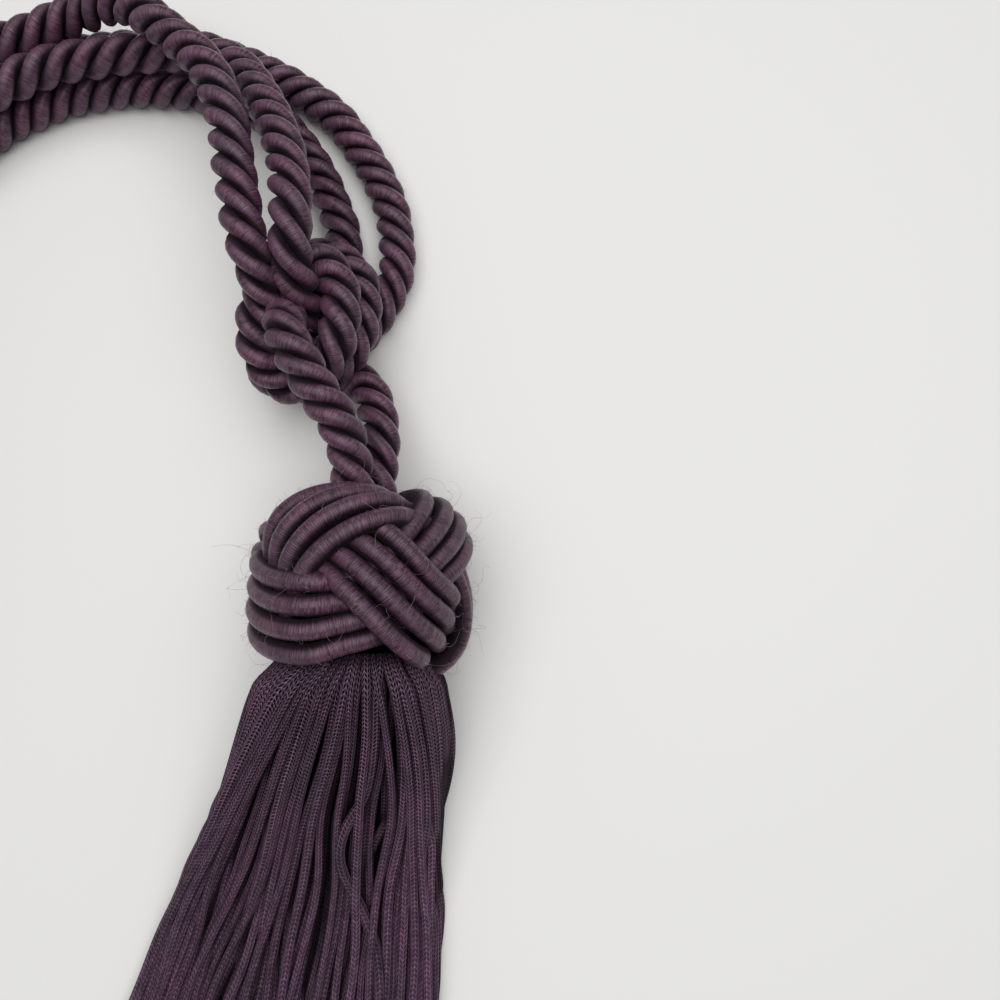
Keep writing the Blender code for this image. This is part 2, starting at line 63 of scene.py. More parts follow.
# %% Place the camera
LENS_MM = 27.0
SENSOR_MM = 36.0
CAMERA_PLACE_MM = (38.813, -7.418, 234.972)
CAMERA_TILT = math.radians(8.0)


def deselect():
    bpy.ops.object.select_all(action="DESELECT")


deselect()
place = [value * MM for value in CAMERA_PLACE_MM]
bpy.ops.object.camera_add(location=place, rotation=(CAMERA_TILT, 0.0, 0.0))
camera = bpy.context.object
camera.name = "camera"
camera.data.lens = LENS_MM
camera.data.sensor_width = SENSOR_MM
camera.data.clip_start = 0.01
bpy.context.scene.camera = camera
print("camera height in mm:", CAMERA_PLACE_MM[2])

# %% [markdown]
# ## Cords as skins over rings
#
# Everything on a tieback is cord: three strands make the rope, a thick cord is woven over
# the head, and hundreds of fine ones hang as the skirt. A curve with a round bevel would give
# each of them quickly, but a curve can't say which side of a strand faces outwards, and the
# threads that are wrapped round it need that. So each cord is a row of rings joined to a
# skin, made straight from its middle line. Each skin also keeps, for its material, how far
# round and how far along a point is, how deep it lies in a groove or under other cords, which
# its material paints as shade, and how bright its cord is.

# %% Smooth curves through points
SPAN_POINTS = 24


def smooth_curve(points, spacing):
    """Evenly spaced points on one smooth curve through the given ones."""
    pts = np.array(points, dtype=float)
    ends = np.vstack([2.0 * pts[0] - pts[1], pts, 2.0 * pts[-1] - pts[-2]])
    dense = []
    for i in range(1, len(ends) - 2):
        before, start, finish, after = ends[i - 1:i + 3]
        t0 = np.linalg.norm(start - before) ** 0.5
        t1 = np.linalg.norm(finish - start) ** 0.5
        t2 = np.linalg.norm(after - finish) ** 0.5
        chord = (finish - start) / t1
        slope_start = (start - before) / t0 - (finish - before) / (t0 + t1) + chord
        slope_finish = chord - (after - start) / (t1 + t2) + (after - finish) / t2
        t = np.linspace(0.0, 1.0, SPAN_POINTS, endpoint=False)[:, None]
        a = 2.0 * start - 2.0 * finish + t1 * (slope_start + slope_finish)
        b = -3.0 * start + 3.0 * finish - t1 * (2.0 * slope_start + slope_finish)
        dense.append(start + t * t1 * slope_start + t ** 2 * b + t ** 3 * a)
    dense = np.vstack([*dense, pts[-1:]])
    along = lengths_along(dense)
    count = max(2, int(round(along[-1] / spacing))) + 1
    even = np.linspace(0.0, along[-1], count)
    return np.column_stack([np.interp(even, along, dense[:, k]) for k in range(3)]), even


def lengths_along(points):
    steps = np.linalg.norm(np.diff(points, axis=0), axis=1)
    return np.concatenate([[0.0], np.cumsum(steps)])


def unit(vectors):
    return vectors / np.linalg.norm(vectors, axis=-1)[..., None]


def ease(value):
    value = np.clip(value, 0.0, 1.0)
    return value * value * (3.0 - 2.0 * value)


def carried_sides(curve, first_side):
    """A direction across the curve at each point, turning as little as possible."""
    tangents = unit(np.gradient(curve, axis=0))
    side = np.array(first_side, dtype=float)
    sides = []
    for tangent in tangents:
        side = side - tangent * np.dot(side, tangent)
        side /= np.linalg.norm(side)
        sides.append(side)
    return np.array(sides), np.cross(tangents, np.array(sides))


# %% A skin over many cords
class Skin:
    """Gathers tubes and makes one mesh of them, in metres, from middle lines in mm."""

    def __init__(self, sides):
        self.sides = sides
        self.points, self.faces, self.uvs, self.depths, self.tones = [], [], [], [], []
        self.count = 0

    def tube(self, centres, outward, radii, closed=False, tone=0.5, shift=0.0, width=1.0,
             grooved=1.0, covered=None):
        """One cord. Its rings start at the side that faces outward; u goes round, v along."""
        n, sides = len(centres), self.sides
        if closed:
            tangents = unit(np.roll(centres, -1, axis=0) - np.roll(centres, 1, axis=0))
        else:
            tangents = unit(np.gradient(centres, axis=0))
        across = unit(outward - tangents * (outward * tangents).sum(axis=1)[:, None])
        other = np.cross(tangents, across)
        angles = 2.0 * math.pi * np.arange(sides) / sides
        radii = np.broadcast_to(np.asarray(radii, dtype=float), (n,))[:, None, None]
        ring = (np.cos(angles)[None, :, None] * across[:, None, :]
                + np.sin(angles)[None, :, None] * other[:, None, :] * width)
        points = centres[:, None, :] + radii * ring
        start, rows = self.count, n if closed else n - 1
        i = np.arange(rows)[:, None]
        j = np.arange(sides)[None, :]
        a, b = start + i * sides + j, start + i * sides + (j + 1) % sides
        c, d = start + (i + 1) % n * sides + (j + 1) % sides, start + (i + 1) % n * sides + j
        self.faces.extend(np.stack([a, b, c, d], axis=-1).reshape(-1, 4).tolist())
        loop = np.vstack([centres, centres[:1]]) if closed else centres
        v = lengths_along(loop) + shift
        u0 = np.broadcast_to(j / sides, (rows, sides))
        u1 = np.broadcast_to((j + 1) / sides, (rows, sides))
        v0 = np.broadcast_to(v[:rows, None], (rows, sides))
        v1 = np.broadcast_to(v[1:rows + 1, None], (rows, sides))
        corners = np.stack([u0, v0, u1, v0, u1, v1, u0, v1], axis=-1)
        self.uvs.append(corners.reshape(-1, 2))
        if not closed:
            for row, order in ((0, -1), (n - 1, 1)):
                cap = list(range(start + row * sides, start + (row + 1) * sides))[::order]
                self.faces.append(cap)
                self.uvs.append(np.tile([[0.5, v[row]]], (sides, 1)))
        # painted shade: the side of a cord that faces away from outward, and any part that is
        # covered, gets a depth that its material darkens
        depth = np.broadcast_to(grooved * (0.5 - 0.5 * np.cos(angles)), (n, sides))
        if covered is not None:
            depth = np.maximum(depth, covered[:, None])
        self.points.append(points.reshape(-1, 3))
        self.depths.append(depth.reshape(-1))
        self.tones.append(np.full(n * sides, tone))
        self.count += n * sides

    def build(self, name, material, lowest=0.0):
        """The object, at the origin, with its place in its mesh."""
        points = np.vstack(self.points)
        points[:, 2] = np.maximum(points[:, 2], lowest)
        mesh = bpy.data.meshes.new(name)
        mesh.from_pydata((points * MM).tolist(), [], self.faces)
        layer = mesh.uv_layers.new(name="cord")
        layer.data.foreach_set("uv", np.vstack(self.uvs).astype(np.float32).reshape(-1))
        # the depth carries the painted shade to the material
        for label, values in (("depth", self.depths), ("tone", self.tones)):
            attribute = mesh.attributes.new(label, "FLOAT", "POINT")
            attribute.data.foreach_set("value", np.concatenate(values).astype(np.float32))
        mesh.shade_smooth()
        mesh.materials.append(material)
        obj = bpy.data.objects.new(name, mesh)
        bpy.context.scene.collection.objects.link(obj)
        triangles = sum(len(face) - 2 for face in self.faces)
        print(name, "triangles:", triangles)
        return obj


# %% [markdown]
# ## Hairs
#
# Real yarn is hairy: short ends stand off every thread, and a few long ones curl away from
# the head. A hair system could grow them, but they would not be a mesh like all the rest. So
# a hair is a very thin cord with three sides. It starts in the side of a cord that faces
# outwards, leans any way, and its bend changes a little at each step.

# %% Fine hairs that stand off the yarn
HAIR_SIDES = 3
HAIR_TIP = 0.5                  # how thick the tip is, as a share of the root
HAIR_LEAN = 0.6                 # how far hairs lean to any side
HAIR_SHORTEST = 0.3             # of the longest
HAIR_ROOT = 0.9                 # how far out a hair starts, as a share of the cord's radius
HAIR_ROOT_LEAN = 0.3
HAIR_WANDER = 0.4               # how much its bend changes at a step
HAIR_FLOOR = 0.05               # the least height above the table
TINY_TURN = 0.01                # keeps a hair's side away from its own direction


def fibres(name, lines, cord_radius, count, reach, thickness, curl, steps, material, rng):
    """Hairs that start in a cord's outer side and curl away from it."""
    skin = Skin(HAIR_SIDES)
    taper = np.linspace(1.0, HAIR_TIP, steps + 1)
    for _ in range(count):
        line, outward = lines[rng.integers(len(lines))]
        index = rng.integers(1, len(line) - 1)
        along = unit(line[index + 1] - line[index - 1])
        lean = HAIR_LEAN * rng.normal(size=3)
        heading = unit(outward[index] + lean + rng.uniform(-1.0, 1.0) * along)
        step = reach * rng.uniform(HAIR_SHORTEST, 1.0) / steps
        bend = curl * rng.normal(size=3)
        root = unit(outward[index] + HAIR_ROOT_LEAN * heading) * cord_radius * HAIR_ROOT
        hair = [line[index] + root]
        for _ in range(steps):
            hair.append(hair[-1] + step * heading)
            bend = bend + HAIR_WANDER * curl * rng.normal(size=3)
            heading = unit(heading + np.cross(bend, heading))
        side = np.tile(np.cross(along, outward[index]), (steps + 1, 1))
        skin.tube(np.array(hair), side + TINY_TURN * rng.normal(size=3), thickness * taper,
                  tone=1.0, grooved=0.0)
    return skin.build(name, material, lowest=HAIR_FLOOR)


# %% [markdown]
# ## The yarn's finish, and its painted shade
#
# Rope and head cord are covered by fine satin thread that is wrapped round and round. From
# close by each turn of the thread is a little ridge, some turns shine more than others, and
# the grooves between cords are nearly black, which is painted as shade. The skirt's cords are
# knitted: small V-shaped stitches stand in columns along them, and the shade in their eyes and
# seams is painted too. Modelling every thread would take millions of faces, so the patterns
# are worked out in the materials. They follow the cord, so they are made from the cord's own
# coordinates, round it and along it, and not from the object's.

# %% Helpers for shader nodes
def add(tree, kind, inputs=None, **settings):
    """One shader node, its settings, and what feeds it: values or other nodes' outputs."""
    made = tree.nodes.new("ShaderNode" + kind)
    for name, value in settings.items():
        setattr(made, name, value)
    for name, value in (inputs or {}).items():
        if isinstance(value, bpy.types.NodeSocket):
            tree.links.new(value, made.inputs[name])
        else:
            made.inputs[name].default_value = value
    return made


def calc(tree, operation, *values):
    return add(tree, "Math", dict(enumerate(values)), operation=operation).outputs[0]


def times(tree, first, second):
    return calc(tree, "MULTIPLY", first, second)


def rest(tree, value):
    """What is missing to one."""
    return calc(tree, "SUBTRACT", 1.0, value)


def shaded(tree, value, least, more):
    """The least brightness, and so much more as the value grows to one."""
    return calc(tree, "ADD", least, times(tree, value, more))


def blend(tree, first, second, share):
    """A share of the first value and the rest of the second."""
    return calc(tree, "ADD", times(tree, first, share), times(tree, second, 1.0 - share))


def sawtooth(tree, value):
    """From -1 to 1, over and over, once for each whole step of the value."""
    return calc(tree, "SUBTRACT", times(tree, calc(tree, "FRACT", value), 2.0), 1.0)


def spread(tree, value, low, high, new_low, new_high):
    """The value moved from one range to another, and held inside it."""
    wired = {"Value": value, "From Min": low, "From Max": high,
             "To Min": new_low, "To Max": new_high}
    return add(tree, "MapRange", wired, interpolation_type="SMOOTHSTEP").outputs["Result"]


def new_group(name, ins, outs):
    """An empty group with its sockets, and the sockets as seen from inside it."""
    group = bpy.data.node_groups.new(name, "ShaderNodeTree")
    for label, kind, value in ins:
        socket = group.interface.new_socket(label, in_out="INPUT",
                                            socket_type="NodeSocket" + kind)
        if value is not None:
            socket.default_value = value
    for label, kind in outs:
        group.interface.new_socket(label, in_out="OUTPUT", socket_type="NodeSocket" + kind)
    entry = group.nodes.new("NodeGroupInput").outputs
    leave = group.nodes.new("NodeGroupOutput").inputs
    return group, entry, leave


def place_group(tree, group, inputs):
    return add(tree, "Group", inputs, node_tree=group).outputs


# %% The wrapped thread
TURN_SHARE = 0.4                # how much of a thread's tone its turn gives, against filaments
RIDGE_SHARE = 0.7               # how much of its height is the round thread itself
FILAMENT_LENGTH = 1.7           # how quickly filaments change from turn to turn
MIDDLE_OF_NOISE = (0.3, 0.7)


def wrapped_thread_group():
    """Ridges of thread across a cord, and how bright each turn and its filaments are."""
    group, entry, leave = new_group(
        "wrapped_thread",
        [("Cord", "Vector", None), ("Pitch", "Float", 0.5), ("Streaks", "Float", 7.0)],
        [("Height", "Float"), ("Tone", "Float")])
    split = add(group, "SeparateXYZ", {0: entry["Cord"]}).outputs
    turns = calc(group, "ADD", calc(group, "DIVIDE", split["Y"], entry["Pitch"]), split["X"])
    saw = sawtooth(group, turns)
    ridge = rest(group, times(group, saw, saw))
    number = calc(group, "FLOOR", turns)
    turn_tone = add(group, "TexWhiteNoise", {"W": number}, noise_dimensions="1D").outputs["Value"]
    place = add(group, "CombineXYZ", {"X": times(group, split["X"], entry["Streaks"]),
                                      "Y": times(group, turns, FILAMENT_LENGTH)})
    streak = add(group, "TexNoise", {"Vector": place.outputs[0], "Scale": 1.0, "Detail": 2.0,
                                     "Roughness": 0.6}).outputs["Fac"]
    streak = spread(group, streak, *MIDDLE_OF_NOISE, 0.0, 1.0)
    group.links.new(blend(group, ridge, streak, RIDGE_SHARE), leave["Height"])
    group.links.new(blend(group, turn_tone, streak, TURN_SHARE), leave["Tone"])
    return group


WRAPPED_THREAD = wrapped_thread_group()

# %% The knitted stitches
EYE_ROW = (0.05, 0.45)          # where the eye of a stitch opens, from the row's middle
EYE_SIDE = (0.5, 1.0)           # and where it closes, from the middle of the V's leg
SEAM_WIDTH = 0.22               # the dip between two columns
SEAM_HEIGHT = 0.62
LEAST_SHINE = -0.3              # of a stitch, before its gape is added
SHINE_VARIETY = 0.35
NUMBERS_APART = 37.0            # so that no two legs of stitches share a number


def knitted_stitches_group():
    """Columns of V-shaped stitches round a cord: their height, and how bright each is, with
    painted shade in their eyes and seams.
    """
    group, entry, leave = new_group(
        "knitted_stitches",
        [("Cord", "Vector", None), ("Pitch", "Float", 1.2), ("Columns", "Float", 3.0),
         ("Slant", "Float", 0.8), ("Gape", "Float", 1.0)],
        [("Height", "Float"), ("Tone", "Float")])
    split = add(group, "SeparateXYZ", {0: entry["Cord"]}).outputs
    column = times(group, split["X"], entry["Columns"])
    side = calc(group, "ABSOLUTE", sawtooth(group, column))
    rows = calc(group, "ADD", calc(group, "DIVIDE", split["Y"], entry["Pitch"]),
                times(group, side, entry["Slant"]))
    off_row = calc(group, "ABSOLUTE", sawtooth(group, rows))
    off_leg = calc(group, "ABSOLUTE", calc(group, "SUBTRACT", times(group, side, 2.0), 1.0))
    between = spread(group, off_row, *EYE_ROW, 0.0, 1.0)
    inside = spread(group, off_leg, *EYE_SIDE, 1.0, 0.0)
    eye = times(group, times(group, between, inside), entry["Gape"])
    seam = spread(group, side, 0.0, SEAM_WIDTH, SEAM_HEIGHT, 1.0)
    height = times(group, rest(group, eye), seam)
    leg = calc(group, "FLOOR", times(group, column, 2.0))
    number = calc(group, "ADD", calc(group, "FLOOR", rows), times(group, leg, NUMBERS_APART))
    tone = add(group, "TexWhiteNoise", {"W": number}, noise_dimensions="1D").outputs["Value"]
    shine = calc(group, "ADD", shaded(group, tone, LEAST_SHINE, SHINE_VARIETY), entry["Gape"])
    group.links.new(height, leave["Height"])
    # painted shade: the tone follows the height, so the eyes of the stitches and the seams
    # between columns are darkened
    group.links.new(times(group, height, shine), leave["Tone"])
    return group


KNITTED_STITCHES = knitted_stitches_group()

# %% The colour of dyed yarn, with painted shade in grooves
CORD_SHADES = (0.8, 0.4)        # the darkest cord, and how much brighter others may be
PATCH_SHADES = (0.85, 0.3)
PATCH_HUES = (0.485, 0.51)      # from a little bluer to a little redder
PATCH_SATURATIONS = (0.9, 1.1)
PATCH_SCALE = 70.0
# painted shade: how much darker the deepest part of a groove is
PAINTED_GROOVE_SHADE = 0.92


def dyed_and_shaded_yarn_group():
    """From dark to light by tone, a little redder or bluer in patches, with painted shade in
    grooves.
    """
    group, entry, leave = new_group(
        "dyed_and_shaded_yarn",
        [("Tone", "Float", 0.5), ("Depth", "Float", 0.0), ("Cord Tone", "Float", 0.5),
         ("Place", "Vector", None), ("Dark", "Color", (0.02, 0.008, 0.016, 1.0)),
         ("Light", "Color", (0.09, 0.045, 0.07, 1.0)), ("Groove Start", "Float", 0.06),
         ("Groove End", "Float", 0.42)],
        [("Colour", "Color"), ("Groove", "Float")])
    mixed = add(group, "Mix", {0: entry["Tone"], 6: entry["Dark"], 7: entry["Light"]},
                data_type="RGBA")
    patches = add(group, "TexNoise", {"Vector": entry["Place"], "Scale": PATCH_SCALE,
                                      "Detail": 3.0})
    warm = spread(group, patches.outputs["Fac"], *MIDDLE_OF_NOISE, 0.0, 1.0)
    value = times(group, shaded(group, entry["Cord Tone"], *CORD_SHADES),
                  shaded(group, warm, *PATCH_SHADES))
    # painted shade: the deeper a point lies in a groove, the darker its colour
    groove = spread(group, entry["Depth"], entry["Groove Start"], entry["Groove End"], 0.0, 1.0)
    value = times(group, value, rest(group, times(group, groove, PAINTED_GROOVE_SHADE)))
    hue = add(group, "HueSaturation", {
        "Hue": spread(group, warm, 0.0, 1.0, *PATCH_HUES),
        "Saturation": spread(group, warm, 0.0, 1.0, *PATCH_SATURATIONS),
        "Value": value, "Color": mixed.outputs[2]})
    group.links.new(hue.outputs[0], leave["Colour"])
    group.links.new(groove, leave["Groove"])
    return group


DYED_AND_SHADED_YARN = dyed_and_shaded_yarn_group()
print("node groups:", sorted(group.name for group in bpy.data.node_groups))

# %% A material for each yarn
FULL_GAPE_Y = -35.0             # above this the stitches of the skirt gape fully
LESS_GAPE_Y = -95.0             # below this they gape as little as their value says
TONE_POLISH = (0.08, 0.16)      # dull threads are this much rougher, bright ones smoother
SATIN_SHADES = (0.4, 0.6)       # how much of the satin dull threads have, and what is added
SATIN_ROUGHNESS = 0.45
THREAD_SHINE = {"Anisotropic": 0.8, "Anisotropic Rotation": 0.25,
                "Specular Tint": (1.0, 0.78, 0.90, 1.0)}
FLUFF = {"Sheen Weight": 0.05, "Sheen Roughness": 0.4, "Sheen Tint": (0.75, 0.55, 0.68, 1.0)}


def new_material(name):
    material = bpy.data.materials.new(name)
    material.use_nodes = True
    return material, material.node_tree, material.node_tree.nodes["Principled BSDF"].inputs


def yarn_material(name, pattern, pattern_values, dark, light, roughness, satin, shine,
                  relief_mm):
    """Yarn: its pattern raises the surface and brightens it, grooves get painted shade and stay
    dull.

    The satin of its threads is a thin coat that covers only what stands proud."""
    material, tree, shader = new_material(name)
    cord = add(tree, "UVMap", uv_map="cord").outputs[0]
    place = add(tree, "TexCoord").outputs["Object"]
    values = dict(pattern_values)
    if "Gape" in values:
        down = add(tree, "SeparateXYZ", {0: place}).outputs["Y"]
        values["Gape"] = spread(tree, down, LESS_GAPE_Y * MM, FULL_GAPE_Y * MM,
                                values["Gape"], 1.0)
    threads = place_group(tree, pattern, {"Cord": cord, **values})
    yarn_colour = place_group(tree, DYED_AND_SHADED_YARN, {
        "Tone": threads["Tone"], "Place": place,
        "Depth": add(tree, "Attribute", attribute_name="depth").outputs["Fac"],
        "Cord Tone": add(tree, "Attribute", attribute_name="tone").outputs["Fac"],
        "Dark": (*dark, 1.0), "Light": (*light, 1.0)})
    hollow = yarn_colour["Groove"]
    if "Gape" in values:
        hollow = calc(tree, "MAXIMUM", hollow, rest(tree, threads["Height"]))
    duller, smoother = TONE_POLISH
    polish = calc(tree, "SUBTRACT", roughness + duller, times(tree, threads["Tone"], smoother))
    bump = add(tree, "Bump", {"Height": threads["Height"], "Distance": relief_mm * MM})
    coat = times(tree, times(tree, rest(tree, hollow), satin),
                 shaded(tree, threads["Tone"], *SATIN_SHADES))
    tangent = add(tree, "Tangent", direction_type="UV_MAP", uv_map="cord")
    for label, socket in (("Base Color", yarn_colour["Colour"]), ("Coat Weight", coat),
                          ("Roughness", calc(tree, "MAXIMUM", hollow, polish)),
                          ("Normal", bump.outputs[0]), ("Tangent", tangent.outputs[0])):
        tree.links.new(socket, shader[label])
    plain = {"Coat Roughness": SATIN_ROUGHNESS, "Specular IOR Level": shine,
             **THREAD_SHINE, **FLUFF}
    for label, value in plain.items():
        shader[label].default_value = value
    return material


def fibre_material():
    """Single hairs: paler than the yarn, for light passes through them."""
    material, tree, shader = new_material("fibre")
    place = add(tree, "TexCoord").outputs["Object"]
    tone = add(tree, "TexNoise", {"Vector": place, "Scale": 400.0}).outputs["Fac"]
    yarn_colour = place_group(tree, DYED_AND_SHADED_YARN, {
        "Tone": spread(tree, tone, *MIDDLE_OF_NOISE, 0.0, 1.0), "Place": place,
        "Dark": (0.08, 0.05, 0.07, 1.0), "Light": (0.38, 0.28, 0.34, 1.0)})
    tree.links.new(yarn_colour["Colour"], shader["Base Color"])
    shader["Roughness"].default_value = 0.4
    return material


FIBRE = fibre_material()
ROPE_YARN = yarn_material(
    "rope_yarn", WRAPPED_THREAD, {"Pitch": 0.5, "Streaks": 6.0}, dark=(0.028, 0.012, 0.021),
    light=(0.150, 0.068, 0.117), roughness=0.38, satin=0.55, shine=0.3, relief_mm=0.11)
HEAD_CORD = yarn_material(
    "head_cord", WRAPPED_THREAD, {"Pitch": 0.6, "Streaks": 7.0}, dark=(0.018, 0.008, 0.014),
    light=(0.130, 0.057, 0.100), roughness=0.36, satin=0.62, shine=0.3, relief_mm=0.16)
SKIRT_CORD = yarn_material(
    "skirt_cord", KNITTED_STITCHES, {"Pitch": 1.3, "Columns": 4.0, "Gape": 0.8},
    dark=(0.002, 0.001, 0.003), light=(0.288, 0.163, 0.262), roughness=0.55, satin=0.0,
    shine=0.15, relief_mm=0.5)
print("materials:", [made.name for made in (FIBRE, ROPE_YARN, HEAD_CORD, SKIRT_CORD)])

# %% [markdown]
# ## The rope
#
# The real rope is one length. It leaves the head, goes over the knot's lower edge and down
# into its middle, makes the lower loop, winds twice round under the knot, comes up through
# the middle, makes the upper loop, and goes down the middle again and back to the head. Its
# route is the one that the solids follow, so its points are the same. A short twisted piece
# could be repeated along a curve, but it would be squeezed in tight bends. So the three
# strands are laid left-handed round the line itself, and since no handled rope is twisted
# evenly, a table says how far they go for each turn and where they have slipped.

# %% The rope's route, in millimetres
LEG_FRONT = (
    (-0.8, 22.9, 35.4), (-0.9, 29.0, 36.6), (-2.0, 35.0, 38.0), (-4.6, 41.5, 40.2),
    (-8.8, 48.0, 42.0),
)
KNOT_FIRST = (
    (-13.0, 54.5, 43.5), (-16.5, 60.5, 43.5), (-19.2, 66.5, 41.3), (-21.0, 71.5, 35.5),
    (-21.3, 75.5, 27.5), (-19.5, 81.0, 18.5), (-16.0, 89.0, 11.0), (-12.0, 99.0, 7.2),
)
LOOP_LOWER_OUT = (
    (-11.6, 109.0, 6.1), (-15.0, 120.5, 6.1), (-21.0, 133.5, 6.1), (-30.0, 146.5, 6.1),
    (-40.5, 154.5, 6.1), (-52.0, 159.5, 6.1), (-66.0, 162.5, 6.1), (-84.0, 163.5, 6.1),
    (-104.0, 160.5, 6.1), (-122.0, 152.5, 6.1), (-138.0, 139.5, 6.1), (-150.0, 122.0, 6.1),
    (-158.0, 102.0, 6.1), (-162.0, 80.0, 6.1), (-163.5, 56.0, 6.1), (-161.5, 32.0, 6.1),
    (-156.0, 8.0, 6.1), (-152.5, -14.0, 6.1), (-156.0, -33.0, 6.1),
)
LOOP_LOWER_BACK = (
    (-168.5, -45.5, 6.1), (-184.0, -44.0, 6.1), (-194.5, -31.0, 6.1), (-196.5, -11.0, 6.1),
    (-191.0, 12.0, 6.1), (-183.0, 36.0, 6.1), (-178.5, 60.0, 6.1), (-176.5, 84.0, 6.1),
    (-172.0, 107.0, 6.1), (-162.5, 130.0, 6.1), (-149.0, 149.5, 6.1), (-130.0, 165.0, 6.1),
    (-108.0, 174.5, 6.1), (-86.0, 177.5, 6.1), (-66.0, 177.0, 6.1), (-48.0, 172.6, 6.1),
    (-30.0, 163.6, 6.1), (-16.0, 153.2, 6.1), (-5.6, 139.0, 6.1), (2.2, 124.0, 6.1),
    (5.4, 109.0, 6.1),
)
KNOT_SECOND = (
    (5.6, 99.5, 6.2), (3.0, 90.5, 6.2), (-2.0, 82.0, 6.2), (-9.0, 73.5, 6.2),
    (-16.5, 66.0, 6.8), (-24.0, 60.5, 9.5), (-30.0, 60.5, 14.5), (-32.2, 67.5, 18.6),
    (-31.6, 76.5, 20.5), (-28.0, 86.0, 20.8), (-21.0, 94.0, 20.5), (-13.0, 97.0, 20.0),
    (-6.3, 93.0, 20.0), (-2.8, 86.5, 20.0), (-2.4, 79.0, 20.0), (-4.2, 71.0, 20.0),
    (-8.8, 63.5, 20.0), (-15.5, 57.5, 20.4), (-23.0, 56.5, 22.3), (-29.0, 61.5, 25.5),
    (-31.2, 69.5, 28.4), (-29.8, 78.0, 30.6), (-25.2, 86.0, 31.6), (-18.2, 90.8, 31.5),
    (-11.2, 89.0, 31.0), (-7.4, 83.0, 31.0), (-6.4, 75.5, 31.0), (-7.6, 67.5, 30.2),
    (-11.6, 60.8, 27.6), (-17.5, 59.0, 24.4), (-22.6, 62.8, 22.8), (-25.2, 69.5, 25.0),
    (-26.6, 76.0, 31.0), (-27.6, 82.0, 38.0), (-29.2, 88.5, 42.8), (-31.2, 96.0, 44.3),
)
LOOP_UPPER_OUT = (
    (-32.8, 105.0, 44.3), (-34.9, 115.0, 43.6), (-37.4, 126.5, 42.4), (-41.8, 139.0, 40.4),
    (-49.0, 150.5, 37.6), (-57.5, 159.0, 34.6), (-68.0, 168.6, 32.6), (-80.0, 176.0, 28.0),
    (-94.0, 178.2, 21.4), (-110.0, 173.5, 18.5), (-131.0, 164.5, 18.5), (-149.5, 149.0, 18.5),
    (-163.0, 129.5, 18.5), (-172.0, 108.0, 18.5), (-178.0, 86.0, 18.5), (-184.5, 64.0, 18.5),
    (-191.5, 40.0, 18.5), (-195.5, 16.0, 18.5), (-193.5, -4.0, 18.5),
)
LOOP_UPPER_BACK = (
    (-183.0, -17.0, 18.5), (-167.5, -18.5, 18.5), (-155.5, -6.0, 18.5), (-152.0, 13.0, 18.5),
    (-155.0, 35.0, 18.5), (-159.5, 58.0, 18.5), (-161.0, 81.0, 18.5), (-157.5, 103.0, 18.5),
    (-149.5, 123.0, 18.5), (-137.5, 140.5, 18.5), (-121.5, 153.5, 18.5),
    (-103.5, 162.0, 18.5), (-85.0, 165.5, 18.5), (-67.0, 167.0, 18.5), (-53.5, 166.0, 19.0),
    (-44.0, 160.0, 21.8), (-36.0, 149.5, 26.8), (-29.0, 136.5, 32.8), (-23.2, 123.5, 38.4),
    (-19.8, 111.5, 42.2),
)
KNOT_THIRD = (
    (-18.2, 102.5, 44.2), (-18.0, 94.5, 44.6), (-18.0, 87.5, 42.8), (-17.6, 82.0, 37.5),
    (-17.6, 78.5, 30.0), (-19.5, 74.0, 21.0), (-21.5, 67.5, 14.5), (-18.5, 61.8, 11.6),
    (-12.0, 60.2, 11.6), (-5.8, 60.8, 12.6), (-1.2, 57.6, 14.6),
)
LEG_BACK = (
    (1.8, 51.0, 17.4), (3.4, 44.5, 20.0), (4.0, 37.5, 22.2), (3.8, 30.0, 23.2),
    (3.4, 22.9, 23.2),
)
# both ends go on a little way between the cords of the head
SUNK_START = ((-1.2, 16.5, 34.2),)
SUNK_END = ((3.0, 16.5, 23.2),)
ROUTE = (SUNK_START + LEG_FRONT + KNOT_FIRST + LOOP_LOWER_OUT + LOOP_LOWER_BACK + KNOT_SECOND
         + LOOP_UPPER_OUT + LOOP_UPPER_BACK + KNOT_THIRD + LEG_BACK + SUNK_END)

# %% Lay the three strands round it
STRAND_RADIUS = 2.69
STRAND_CENTRE = 3.31            # from the rope's middle to a strand's middle
# how far the rope goes for one turn of its strands, at distances along it: the upper loop
# is a little slacker
ROPE_LAYS = ((0.0, 22.0), (120.0, 21.5), (980.0, 21.5), (1150.0, 22.5), (1240.0, 24.7),
             (1960.0, 24.7), (2033.0, 22.5))
ROPE_STEP = 1.0
STRAND_SIDES = 12
STRAND_WIDTH = 0.92             # of a strand, as a share of its height: the lay presses it
# how far the strands have slipped round, in turns, at distances along the rope
ROPE_SLIP = ((0.0, 0.0), (60.0, 0.0), (170.0, -0.18), (883.0, -0.124), (1214.0, 0.125),
             (1920.0, -0.01), (2033.0, 0.0))
WAVER_SIZE = 0.04               # how much a strand swells and thins, of its radius
WAVER_LENGTH = 31.0
WAVER_APART = 2.1
STRAND_SHIFT = 7.3              # so that the threads of two strands don't match
ROPE_SEED = 3                   # for the tones and hairs of the rope and the head

rope_line, rope_along = smooth_curve(ROUTE, ROPE_STEP)
rope_side, rope_up = carried_sides(rope_line, (1.0, 0.0, 0.0))
print("rope length in mm:", round(float(rope_along[-1]), 1))

lays = np.interp(rope_along, *np.array(ROPE_LAYS).T)
turns = np.concatenate([[0.0], np.cumsum(np.diff(rope_along) / lays[1:])])
turns += np.interp(rope_along, *np.array(ROPE_SLIP).T)


def middling_tone(rng):
    """How bright a cord is as a whole: neither the darkest nor the brightest."""
    return 0.3 + 0.4 * rng.random()


